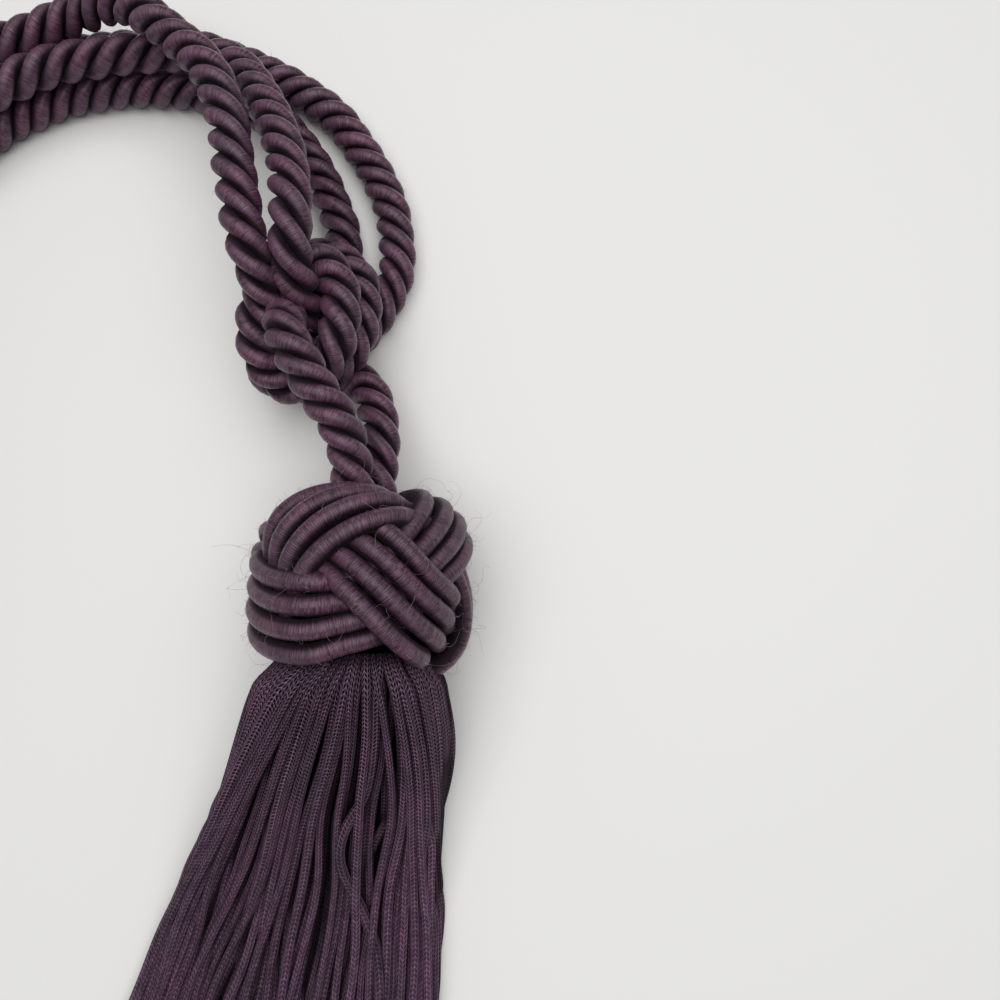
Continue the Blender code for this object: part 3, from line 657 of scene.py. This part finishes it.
rng = np.random.default_rng(ROPE_SEED)
skin = Skin(STRAND_SIDES)
strand_lines = []
for strand in range(3):
    angle = -2.0 * math.pi * (turns - strand / 3.0)
    outward = rope_side * np.cos(angle)[:, None] + rope_up * np.sin(angle)[:, None]
    centres = rope_line + STRAND_CENTRE * outward
    strand_lines.append((centres, outward))
    waver = np.sin(rope_along / WAVER_LENGTH + strand * WAVER_APART) * WAVER_SIZE
    skin.tube(centres, outward, STRAND_RADIUS * (1.0 + waver), width=STRAND_WIDTH,
              tone=middling_tone(rng), shift=strand * STRAND_SHIFT)
rope = skin.build("rope", ROPE_YARN)
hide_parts("leg_front", "leg_back", "knot", "loop_lower", "loop_upper")
rope_fuzz = fibres("rope_fuzz", strand_lines, STRAND_RADIUS, count=3000, reach=1.8,
                   thickness=0.035, curl=0.3, steps=4, material=FIBRE, rng=rng)
for piece in (rope, rope_fuzz):
    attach(piece, "root")

# %% [markdown]
# ## The head
#
# The ball is covered by a woven band called a Turk's head. A cord goes round three times
# while it swings up and down four times, over and under itself in turn, and then the whole
# way is followed three times more, so that four cords lie side by side. Each crossing could
# be drawn by hand, but then moving one cord would upset all the others. So the middle line is
# a sum of simple waves, wound on a round ball, tilted, and pushed out to the squarer shape of
# the real one, and four of these lines are set a cord's width apart.

# %% Where the woven cord runs
HEAD_CENTRE_Z = 29.0
HEAD_BODY_RADIUS = 25.6
HEAD_BODY_HALF_LENGTH = 22.3
HEAD_BODY_SHIFT = (1.5, -1.9)   # of the band, from the middle of the ball
HEAD_SHOULDER = 3.5             # 2 is a round ball, more is squarer
HEAD_CORD_RADIUS = 2.75
HEAD_CORD_SPACING = 5.2
HEAD_CORD_PASSES = 4
HEAD_WEAVE_HEIGHT = 2.3         # how far a cord rises and sinks where bands cross
HEAD_WEAVE_HOLD = 2.2           # how long it stays up or down
HEAD_LEADS = 3                  # times round the ball
HEAD_BIGHTS = 4                 # swings up and down
HEAD_SWING = math.radians(42.2)
HEAD_SWING_SHARP = -0.06        # how pointed the swings are
HEAD_SWING_CHANGES = (0.11, -0.20)   # larger swings at the right, smaller ones in front
HEAD_SADDLE = -0.089            # how far the band itself rises and sinks, twice round
HEAD_BUNCHING = (-0.008, 0.012)      # how far it is pushed together, twice round
HEAD_PHASE = math.radians(-15.3)     # how far the band is turned round the ball
HEAD_TILT = math.radians(19.6)
HEAD_ROLL = math.radians(5.6)
HEAD_STEPS = 760
HEAD_UNDER = 0.8                # from here on a cord counts as lying under another band
HEAD_CORD_SIDES = 14
HEAD_CORD_WIDTH = 0.93          # of a cord, as a share of its height


def head_surface(direction):
    """Point on the middle surface of the woven cords, from the ball's middle."""
    across = np.hypot(direction[:, 0], direction[:, 2]) / HEAD_BODY_RADIUS
    along = np.abs(direction[:, 1]) / HEAD_BODY_HALF_LENGTH
    reach = (across ** HEAD_SHOULDER + along ** HEAD_SHOULDER) ** (-1.0 / HEAD_SHOULDER)
    return direction * reach[:, None]


def tilted(direction):
    """The weave's directions, tilted and rolled as the band sits on the ball."""
    x, y, z = direction.T
    y, z = (math.cos(HEAD_TILT) * y + math.sin(HEAD_TILT) * z,
            math.cos(HEAD_TILT) * z - math.sin(HEAD_TILT) * y)
    x, y = (math.cos(HEAD_ROLL) * x - math.sin(HEAD_ROLL) * y,
            math.sin(HEAD_ROLL) * x + math.cos(HEAD_ROLL) * y)
    return np.stack([x, y, z], axis=-1)


def head_cord_line(number):
    """Middle line of one pass of the woven cord, which rises and sinks where bands cross."""
    turn = np.linspace(0.0, 2.0 * math.pi * HEAD_LEADS, HEAD_STEPS, endpoint=False)
    ratio = HEAD_BIGHTS / HEAD_LEADS
    wave = ratio * turn
    base = turn + HEAD_PHASE + math.pi / HEAD_BIGHTS
    right, front = HEAD_SWING_CHANGES
    swing = HEAD_SWING * (1.0 + right * np.sin(base) + front * np.cos(base))
    swing_slope = HEAD_SWING * (right * np.cos(base) - front * np.sin(base))
    shape = np.cos(wave) + HEAD_SWING_SHARP * np.cos(3.0 * wave)
    shape_slope = -ratio * (np.sin(wave) + 3.0 * HEAD_SWING_SHARP * np.sin(3.0 * wave))
    latitude = swing * shape + HEAD_SADDLE * np.cos(2.0 * base)
    slope = swing * shape_slope + swing_slope * shape - 2.0 * HEAD_SADDLE * np.sin(2.0 * base)
    along_east = np.cos(latitude)
    length = np.hypot(slope, along_east)
    bunching = HEAD_BUNCHING[0] * np.sin(2.0 * base) + HEAD_BUNCHING[1] * np.cos(2.0 * base)
    angle = (number - (HEAD_CORD_PASSES - 1) / 2.0) * HEAD_CORD_SPACING / HEAD_BODY_RADIUS
    moved_latitude = latitude + angle * along_east / length
    moved_longitude = base - angle * slope / length / np.cos(moved_latitude) + bunching
    direction = np.stack([np.cos(moved_latitude) * np.sin(moved_longitude),
                          np.sin(moved_latitude),
                          np.cos(moved_latitude) * np.cos(moved_longitude)], axis=-1)
    point = head_surface(tilted(direction))
    outward = unit(point)
    held = np.tanh(HEAD_WEAVE_HOLD * np.sin(-2.0 * wave)) / math.tanh(HEAD_WEAVE_HOLD)
    shift = np.array((HEAD_BODY_SHIFT[0], HEAD_BODY_SHIFT[1], 0.0))
    # where the cord lies under another band, for its painted shade
    under = ease((np.sin(2.0 * wave) - HEAD_UNDER) / (1.0 - HEAD_UNDER))
    return point + outward * HEAD_WEAVE_HEIGHT * held[:, None] + shift, outward, under


# %% Weave the four passes
UNDER_SHADE = 0.4               # painted shade: how dark a cord is where it lies under others
PASS_SHIFT = 11.0               # so that the threads of two passes don't match

skin = Skin(HEAD_CORD_SIDES)
centre = np.array((0.0, 0.0, HEAD_CENTRE_Z))
head_lines = []
for number in range(HEAD_CORD_PASSES):
    line, outward, under = head_cord_line(number)
    head_lines.append((line + centre, outward))
    skin.tube(line + centre, outward, HEAD_CORD_RADIUS, closed=True, width=HEAD_CORD_WIDTH,
              tone=middling_tone(rng), shift=number * PASS_SHIFT,
              covered=UNDER_SHADE * under)
head = skin.build("head_cords", HEAD_CORD)
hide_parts("head")
head_fuzz = fibres("head_fuzz", head_lines, HEAD_CORD_RADIUS, count=2600, reach=2.0,
                   thickness=0.035, curl=0.3, steps=4, material=FIBRE, rng=rng)
head_hairs = fibres("head_hairs", head_lines, HEAD_CORD_RADIUS, count=260, reach=14.0,
                    thickness=0.04, curl=0.22, steps=14, material=FIBRE, rng=rng)
for piece in (head, head_fuzz, head_hairs):
    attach(piece, "root")

# %% The core that shows between them, coloured nearly black as painted shade
CORE_HALF_SIZE = (23.5, 19.5, 23.5)

deselect()
bpy.ops.mesh.primitive_uv_sphere_add(segments=48, ring_count=24, radius=1.0,
                                     location=(0.0, 0.0, HEAD_CENTRE_Z * MM))
core = bpy.context.object
core.name = "head_core"
core.scale = [value * MM for value in CORE_HALF_SIZE]
bpy.ops.object.transform_apply(location=True, rotation=True, scale=True)
bpy.ops.object.shade_smooth()


def shaded_core_material():
    """Rough wrapping of the core, coloured nearly black as painted shade for the gaps between the
    head cords.
    """
    material, tree, shader = new_material("core_wrap_painted_shade")
    noise = add(tree, "TexNoise", {"Vector": add(tree, "TexCoord").outputs["Object"],
                                   "Scale": 900.0, "Detail": 3.0})
    ramp = add(tree, "ValToRGB", {"Fac": noise.outputs["Fac"]})
    # painted shade: the core is really there, but its colour is nearly black, darker than the
    # yarn, so that the gaps between the cords look deep
    ramp.color_ramp.elements[0].color = (0.002, 0.001, 0.002, 1.0)
    ramp.color_ramp.elements[1].color = (0.010, 0.005, 0.009, 1.0)
    bump = add(tree, "Bump", {"Height": noise.outputs["Fac"], "Distance": 0.3 * MM})
    tree.links.new(ramp.outputs[0], shader["Base Color"])
    tree.links.new(bump.outputs[0], shader["Normal"])
    shader["Roughness"].default_value = 0.9
    return material


core.data.materials.append(shaded_core_material())
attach(core, "root")
print("core, mm:", [2.0 * value for value in CORE_HALF_SIZE])

# %% [markdown]
# ## The skirt
#
# A few hundred knitted cords are bound at the neck and fall freely. Where they lie on the
# table they press each other down and aside into a flat pile, some wander over their
# neighbours, and here and there the pile parts. Copies of one cord would look like a comb.
# Instead each cord starts on a ring at the neck and heads for its own spot at the free end,
# and then all of them are pushed apart, and down, until none lies in another.

# %% Where each cord heads for
NECK_Y = -19.5
SKIRT_END_Y = -192.0
SKIRT_END_X = -31.0
CORD_RADIUS = 1.2
PILE_CENTRE_Z = 8.0
FALL_LENGTH = 75.0              # from the neck to where the pile lies level
TOP_OF_RING = 0.45              # where on the upper half ring they part to left and right
TUCKED_UNDER = 0.3              # how far those at the edges are tucked under the pile
BULGE = 3.0                     # how far the cords at the right swing out below the neck
BULGE_DOWN = 26.0               # how far down that is most, and over what length
BULGE_LENGTH = 17.0
NECK_GATHER = 0.78              # how much of the ring's size is left where it is bound
GATHER_LENGTH = 10.0
NECK_SQUEEZE = 0.76             # how thin the cords are pressed where they are bound
SQUEEZED_LENGTH = 65.0
FLAT_BELOW = 8.0                # how square the pile's outline is: below, and above
CROWNED_ABOVE = 2.6
OUTLINE_POINTS = 721
SLICES = 46
SLICE_Y = np.linspace(NECK_Y, SKIRT_END_Y, SLICES)
# how many cords, radius at the neck, half width and half height at the free end, and how
# strongly the cords from the top of the ring slide off to both sides
SKIRT_LAYERS = ((78, 23.5, 50.5, 7.4, 8.0), (62, 21.6, 48.5, 5.4, 5.0),
                (48, 19.6, 46.0, 3.2, 2.5), (36, 17.6, 43.0, 1.2, 1.0))
# waves that run through the whole pile: size, wave length across, turns along, start
PILE_WAVES = ((1.6, 46.0, 1.1, 0.4), (1.4, 31.0, -1.4, 2.2), (1.2, 21.0, 2.1, 4.0),
              (0.9, 14.0, -2.6, 1.1), (0.7, 9.0, 1.7, 5.1))
WAVES_START = 0.6               # how slowly waves set in below the neck: pile's, cord's own
OWN_START = 0.8
CALM_EDGE = 0.8                 # how much less the cords at the edges wave
OWN_BEATS = (0.8, 2.6)          # waves of a single cord over its length
OWN_SIZE = 1.6
# plump cords that wander to and fro: radius, then places on their way (x, y)
WANDERERS = (
    (1.50, ((9.2, -19.5), (9.0, -27.4), (7.8, -37.3), (5.9, -48.0), (2.8, -58.3),
            (-2.5, -65.9), (-5.1, -75.3), (-2.9, -82.9), (0.4, -90.1), (3.3, -97.9),
            (5.1, -105.5), (5.8, -113.0), (4.0, -150.0), (3.0, -190.0))),
    (1.20, ((13.0, -19.5), (12.6, -27.4), (9.1, -45.3), (6.9, -61.3), (6.1, -81.4),
            (9.2, -92.8), (10.8, -103.0), (11.8, -113.0), (12.0, -150.0), (12.0, -190.0))),
)
# where the pile parts: y where it is widest, x there, how much it slants, how long it is,
# and how far it opens
PARTINGS = ((-63.0, 5.2, 0.14, 18.0, 2.6), (-66.0, 0.6, 0.17, 12.0, 2.2),
            (-50.0, -8.6, 0.39, 15.0, 0.5), (-100.0, -12.0, 0.20, 13.0, 1.4),
            (-84.0, -38.0, 0.60, 16.0, 1.5), (-96.0, 15.5, 0.06, 18.0, 1.3),
            (-110.0, -36.0, 0.30, 20.0, 1.6))
PARTING_EDGE = 1.2              # how sharply a parting opens, and how far off it is felt
PARTING_REACH = 9.0
# how far the cords at the edges have spread, against how far down they are
EDGE_SPREAD = ((0.0, 0.0), (0.18, 0.19), (0.325, 0.41), (0.44, 0.56), (0.54, 0.63),
               (0.75, 0.81), (1.0, 1.0))
TOP_SPREAD = 1.65               # how much sooner those on top spread
PLUMP_SHARE = 0.06              # of all cords
PLUMP_RADII = (1.2, 1.45)       # as shares of the usual radius
USUAL_RADII = (0.82, 1.14)


def thickness(fallen):
    """How thick the cords are, as a share: thinner where they are bound."""
    return NECK_SQUEEZE + (1.0 - NECK_SQUEEZE) * ease(fallen / SQUEEZED_LENGTH)


def flattened_outline(half_width, half_height, count, slid):
    """Points round a flat pile, level below and crowned above, closer towards its edges."""
    angles = np.linspace(0.0, 2.0 * math.pi, OUTLINE_POINTS)
    c, s = np.cos(angles), np.sin(angles)
    power = np.where(s < 0.0, FLAT_BELOW, CROWNED_ABOVE)
    swell = (np.abs(c) ** power + np.abs(s) ** power) ** (-1.0 / power)
    x, z = half_width * c * swell, half_height * s * swell
    along = np.concatenate([[0.0], np.cumsum(np.hypot(np.diff(x), np.diff(z)))])
    half_turn = (np.arange(count) + 0.5) / count * 2.0
    above = (0.5 + 0.5 * np.tanh(slid * (half_turn - TOP_OF_RING)) / math.tanh(0.5 * slid)
             + TUCKED_UNDER * (half_turn - 0.5))
    below = 1.0 + 0.5 * TUCKED_UNDER + (1.0 - TUCKED_UNDER) * (half_turn - 1.0)
    even = (np.where(half_turn < 1.0, above, below) / 2.0 % 1.0) * along[-1]
    return np.interp(even, along, x), np.interp(even, along, z)


def parted(x, y):
    """Sideways push away from the partings."""
    push = np.zeros_like(x)
    for middle_y, middle_x, slant, length, opening in PARTINGS:
        line = middle_x + slant * (y - middle_y)
        there = np.exp(-((y - middle_y) / length) ** 2)
        off = x - line
        push += (opening * there * np.tanh(off / PARTING_EDGE)
                 * np.exp(-np.abs(off) / PARTING_REACH))
    return push


def skirt_targets(rng):
    """For every cord and slice, where it would lie if nothing pushed it: x and z."""
    share = np.linspace(0.0, 1.0, SLICES)[None, :]
    fallen = share * (NECK_Y - SKIRT_END_Y)
    targets = []
    for count, neck_radius, half_width, half_height, slid in SKIRT_LAYERS:
        xs, zs = flattened_outline(half_width, half_height, count, slid)
        angle = 2.0 * math.pi * (np.arange(count) + 0.5) / count
        gathered = NECK_GATHER + (1.0 - NECK_GATHER) * ease(fallen / GATHER_LENGTH)
        neck_x = neck_radius * np.cos(angle)[:, None] * gathered
        neck_z = HEAD_CENTRE_Z + neck_radius * np.sin(angle)[:, None] * gathered
        end_x = (SKIRT_END_X + xs)[:, None]
        end_z = (PILE_CENTRE_Z + zs)[:, None]
        edge = np.abs(neck_x / neck_radius) ** 3
        fan = ((1.0 - edge) * (1.0 - (1.0 - share) ** TOP_SPREAD)
               + edge * np.interp(share, *np.array(EDGE_SPREAD).T))
        inside = 1.0 - CALM_EDGE * np.abs(xs[:, None] / half_width) ** 3
        waves = sum(size * np.sin(2.0 * math.pi * (end_x / wide + turns * share) + start)
                    for size, wide, turns, start in PILE_WAVES)
        waves = waves * share ** WAVES_START * inside
        own_phase = rng.uniform(0.0, 2.0 * math.pi, (count, 1))
        own_beat = rng.uniform(*OWN_BEATS, (count, 1))
        own_size = rng.gamma(OWN_SIZE, 1.0, (count, 1))
        own = (own_size * np.sin(2.0 * math.pi * own_beat * share + own_phase)
               * share ** OWN_START * inside)
        bulging = np.exp(-((fallen - BULGE_DOWN) / BULGE_LENGTH) ** 2)
        swing = BULGE * np.maximum(neck_x / neck_radius, 0.0) * bulging
        x = neck_x + (end_x - neck_x) * fan + waves + own + swing
        x = x + parted(x, NECK_Y - fallen)
        z = neck_z + (end_z - neck_z) * ease(fallen / FALL_LENGTH)
        targets.append(np.stack([x, np.broadcast_to(z, x.shape)], axis=-1))
    return np.concatenate(targets)


def let_wander(targets):
    """Each wandering cord takes the place of a top cord; the numbers of those."""
    top_layer = targets[:SKIRT_LAYERS[0][0], 0]
    chosen = []
    for radius, way in WANDERERS:
        off = np.where(top_layer[:, 1] < HEAD_CENTRE_Z, np.inf,
                       np.abs(top_layer[:, 0] - way[0][0]))
        index = int(np.argmin(off))
        curve = smooth_curve([(x, y, 0.0) for x, y in way], 1.0)[0]
        targets[index, :, 0] = np.interp(-SLICE_Y, -curve[:, 1], curve[:, 0])
        chosen.append(index)
    return chosen


def cord_radii(count, rng):
    """Most cords are alike, a few are plump."""
    plump = rng.random(count) < PLUMP_SHARE
    return CORD_RADIUS * np.where(plump, rng.uniform(*PLUMP_RADII, count),
                                  rng.uniform(*USUAL_RADII, count))


# %% Push the cords apart
SETTLING_ROUNDS = 30
SINKING = 0.12                  # how far a cord's own weight lets it down in a round
PUSH = 0.42                     # how much of an overlap one cord gives way in a round
STRAIGHTENING = 0.18            # how much of a bend is taken out in a round
HOLD = 0.16                     # how strongly a cord is drawn to its own line
WANDERER_HOLD = 0.45
FREED = 12.0                    # a cord is held at the neck, and free within about a twelfth
STILL_HELD = 0.6                # of its way down


def settle(targets, radii, hold, rounds):
    """Slice by slice, cords press on each other and sink, and each stays a smooth line."""
    place = targets.astype(np.float32).copy()
    held = targets.astype(np.float32)
    free = ease(np.linspace(0.0, 1.0, SLICES) * FREED - STILL_HELD).astype(np.float32)[None, :]
    weight = free[..., None]
    apart = (radii[:, None] + radii[None, :]).astype(np.float32)
    np.fill_diagonal(apart, 0.0)
    thick = thickness(np.linspace(0.0, NECK_Y - SKIRT_END_Y, SLICES)).astype(np.float32)
    for _ in range(rounds):
        place[..., 0] += hold[:, None] * (held[..., 0] - place[..., 0]) * free
        place[..., 1] -= SINKING * free
        by_slice = place.transpose(1, 0, 2)
        push = np.zeros_like(by_slice)
        for index in range(1, SLICES):
            gap = by_slice[index][:, None, :] - by_slice[index][None, :, :]
            distance = np.sqrt((gap ** 2).sum(axis=-1)) + 1e-6
            overlap = np.maximum(apart * thick[index] - distance, 0.0)
            push[index] = (gap * (overlap / distance)[..., None]).sum(axis=1)
        place += PUSH * push.transpose(1, 0, 2) * weight
        bend = np.zeros_like(place)
        bend[:, 1:-1] = place[:, :-2] + place[:, 2:] - 2.0 * place[:, 1:-1]
        place += STRAIGHTENING * bend * weight
        place[..., 1] = np.maximum(place[..., 1], radii[:, None] * thick)
    return place


# %% Find the cords that others lie over
SHADING_SLOPE = 2.4             # a cord shades those below it, but not far to its sides
SHADING_DEPTH = 2.2


def how_deep(place):
    """For every cord and slice, how far it lies under the pile's top: 0 on top, 1 deep."""
    deep = np.zeros(place.shape[:2])
    for index in range(SLICES):
        x, z = place[:, index, 0], place[:, index, 1]
        shading = z[None, :] - SHADING_SLOPE * np.abs(x[:, None] - x[None, :])
        deep[:, index] = ease((shading.max(axis=1) - z) / SHADING_DEPTH)
    return deep


# %% Let them settle
LIFT = 2.4                      # the first wandering cord lies over its neighbours here
LIFTED_Y = -76.0
LIFTED_LENGTH = 15.0
SKIRT_SEED = 11

rng = np.random.default_rng(SKIRT_SEED)
targets = skirt_targets(rng)
wandering = let_wander(targets)
skirt_radii = cord_radii(len(targets), rng)
skirt_radii[wandering] = [radius for radius, way in WANDERERS]
hold = np.full(len(targets), HOLD)
hold[wandering] = WANDERER_HOLD
settled = settle(targets, skirt_radii, hold, SETTLING_ROUNDS)
settled[wandering[0], :, 1] += LIFT * np.exp(-((SLICE_Y - LIFTED_Y) / LIFTED_LENGTH) ** 2)
skirt_depth = how_deep(settled)
print("skirt cords:", len(settled), "highest at the free end, mm:",
      round(float(settled[:, -1, 1].max()), 1))

# %% Knit the cords of the skirt
ROW_LENGTH = 2.2
SKIRT_SIDES = 8
SHADED = 0.34                   # painted shade: how dark the cords under others are
NECK_SHADE = (1.0, 5.0)         # painted shadow of the head: how far down all are dark, and over what length that fades
UNEVEN_CUT = 5.0
MOST_TWIST = 3.0                # radians, over a cord's whole length
STITCH_SHIFT = 50.0


def skirt_skin(first, last):
    """The cords from one number to another as one skin, each turned in its own way."""
    skin = Skin(SKIRT_SIDES)
    for index in range(first, last):
        coarse = np.column_stack([settled[index, :, 0], SLICE_Y, settled[index, :, 1]])
        centres = smooth_curve(coarse, ROW_LENGTH)[0]
        centres = centres[centres[:, 1] > SKIRT_END_Y + UNEVEN_CUT * rng.random()]
        rows, fallen = len(centres), NECK_Y - centres[:, 1]
        turned = rng.uniform(0.0, 2.0 * math.pi)
        turned = turned + np.linspace(0.0, rng.uniform(-MOST_TWIST, MOST_TWIST), rows)
        outward = np.column_stack([np.sin(turned), np.zeros(rows), np.cos(turned)])
        # painted shade: cords that lie under others, and all cords just below the neck, are
        # darkened
        sunk = np.interp(-centres[:, 1], -SLICE_Y, skirt_depth[index])
        sunk = np.maximum(sunk, 1.0 - ease((fallen - NECK_SHADE[0]) / NECK_SHADE[1]))
        skin.tube(centres, outward, skirt_radii[index] * thickness(fallen), tone=rng.random(),
                  shift=STITCH_SHIFT * rng.random(), grooved=0.0, covered=SHADED * sunk)
    return skin


outer_count = SKIRT_LAYERS[0][0] + SKIRT_LAYERS[1][0]
skirt_outer = skirt_skin(0, outer_count).build("skirt_outer", SKIRT_CORD)
skirt_inner = skirt_skin(outer_count, len(settled)).build("skirt_inner", SKIRT_CORD)
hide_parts("skirt")
for piece in (skirt_outer, skirt_inner):
    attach(piece, "root")

# %% [markdown]
# ## Table and light
#
# The picture shows a matt, nearly white table, lit by a large soft light that hangs
# almost straight above it. The shadows are faint, and lie close round the rope. A small lamp
# would give them hard edges, so the light is an area lamp much larger than the tieback, and a
# dim even light from all around stands for the room's walls.

# %% Lay the table
TABLE_SIZE_M = 4.0
TABLE_COLOUR = (0.775, 0.775, 0.76, 1.0)

deselect()
bpy.ops.mesh.primitive_plane_add(size=TABLE_SIZE_M, location=(0.0, 0.0, 0.0))
table = bpy.context.object
table.name = "table"
table_top, tree, shader = new_material("table_top")
shader["Base Color"].default_value = TABLE_COLOUR
shader["Roughness"].default_value = 0.6
table.data.materials.append(table_top)
print("table, m:", TABLE_SIZE_M)

# %% Set the light
WINDOW_PLACE_M = (0.05, 0.12, 1.10)
WINDOW_SIZE_M = 1.5
WINDOW_WATTS = 15.8
WINDOW_COLOUR = (1.0, 0.99, 0.98)
ROOM_COLOUR = (0.97, 0.985, 1.0, 1.0)
ROOM_STRENGTH = 0.22

deselect()
bpy.ops.object.light_add(type="AREA", location=WINDOW_PLACE_M)
lamp = bpy.context.object
lamp.name = "window"
lamp.data.size = WINDOW_SIZE_M
lamp.data.energy = WINDOW_WATTS
lamp.data.color = WINDOW_COLOUR
lamp.rotation_euler = (-lamp.location).to_track_quat("-Z", "Y").to_euler()
world = bpy.data.worlds.new("room")
world.use_nodes = True
background = world.node_tree.nodes["Background"].inputs
background["Color"].default_value = ROOM_COLOUR
background["Strength"].default_value = ROOM_STRENGTH
bpy.context.scene.world = world
bpy.context.scene.view_settings.view_transform = "Standard"
print("lamp, watts:", WINDOW_WATTS, "room:", ROOM_STRENGTH)
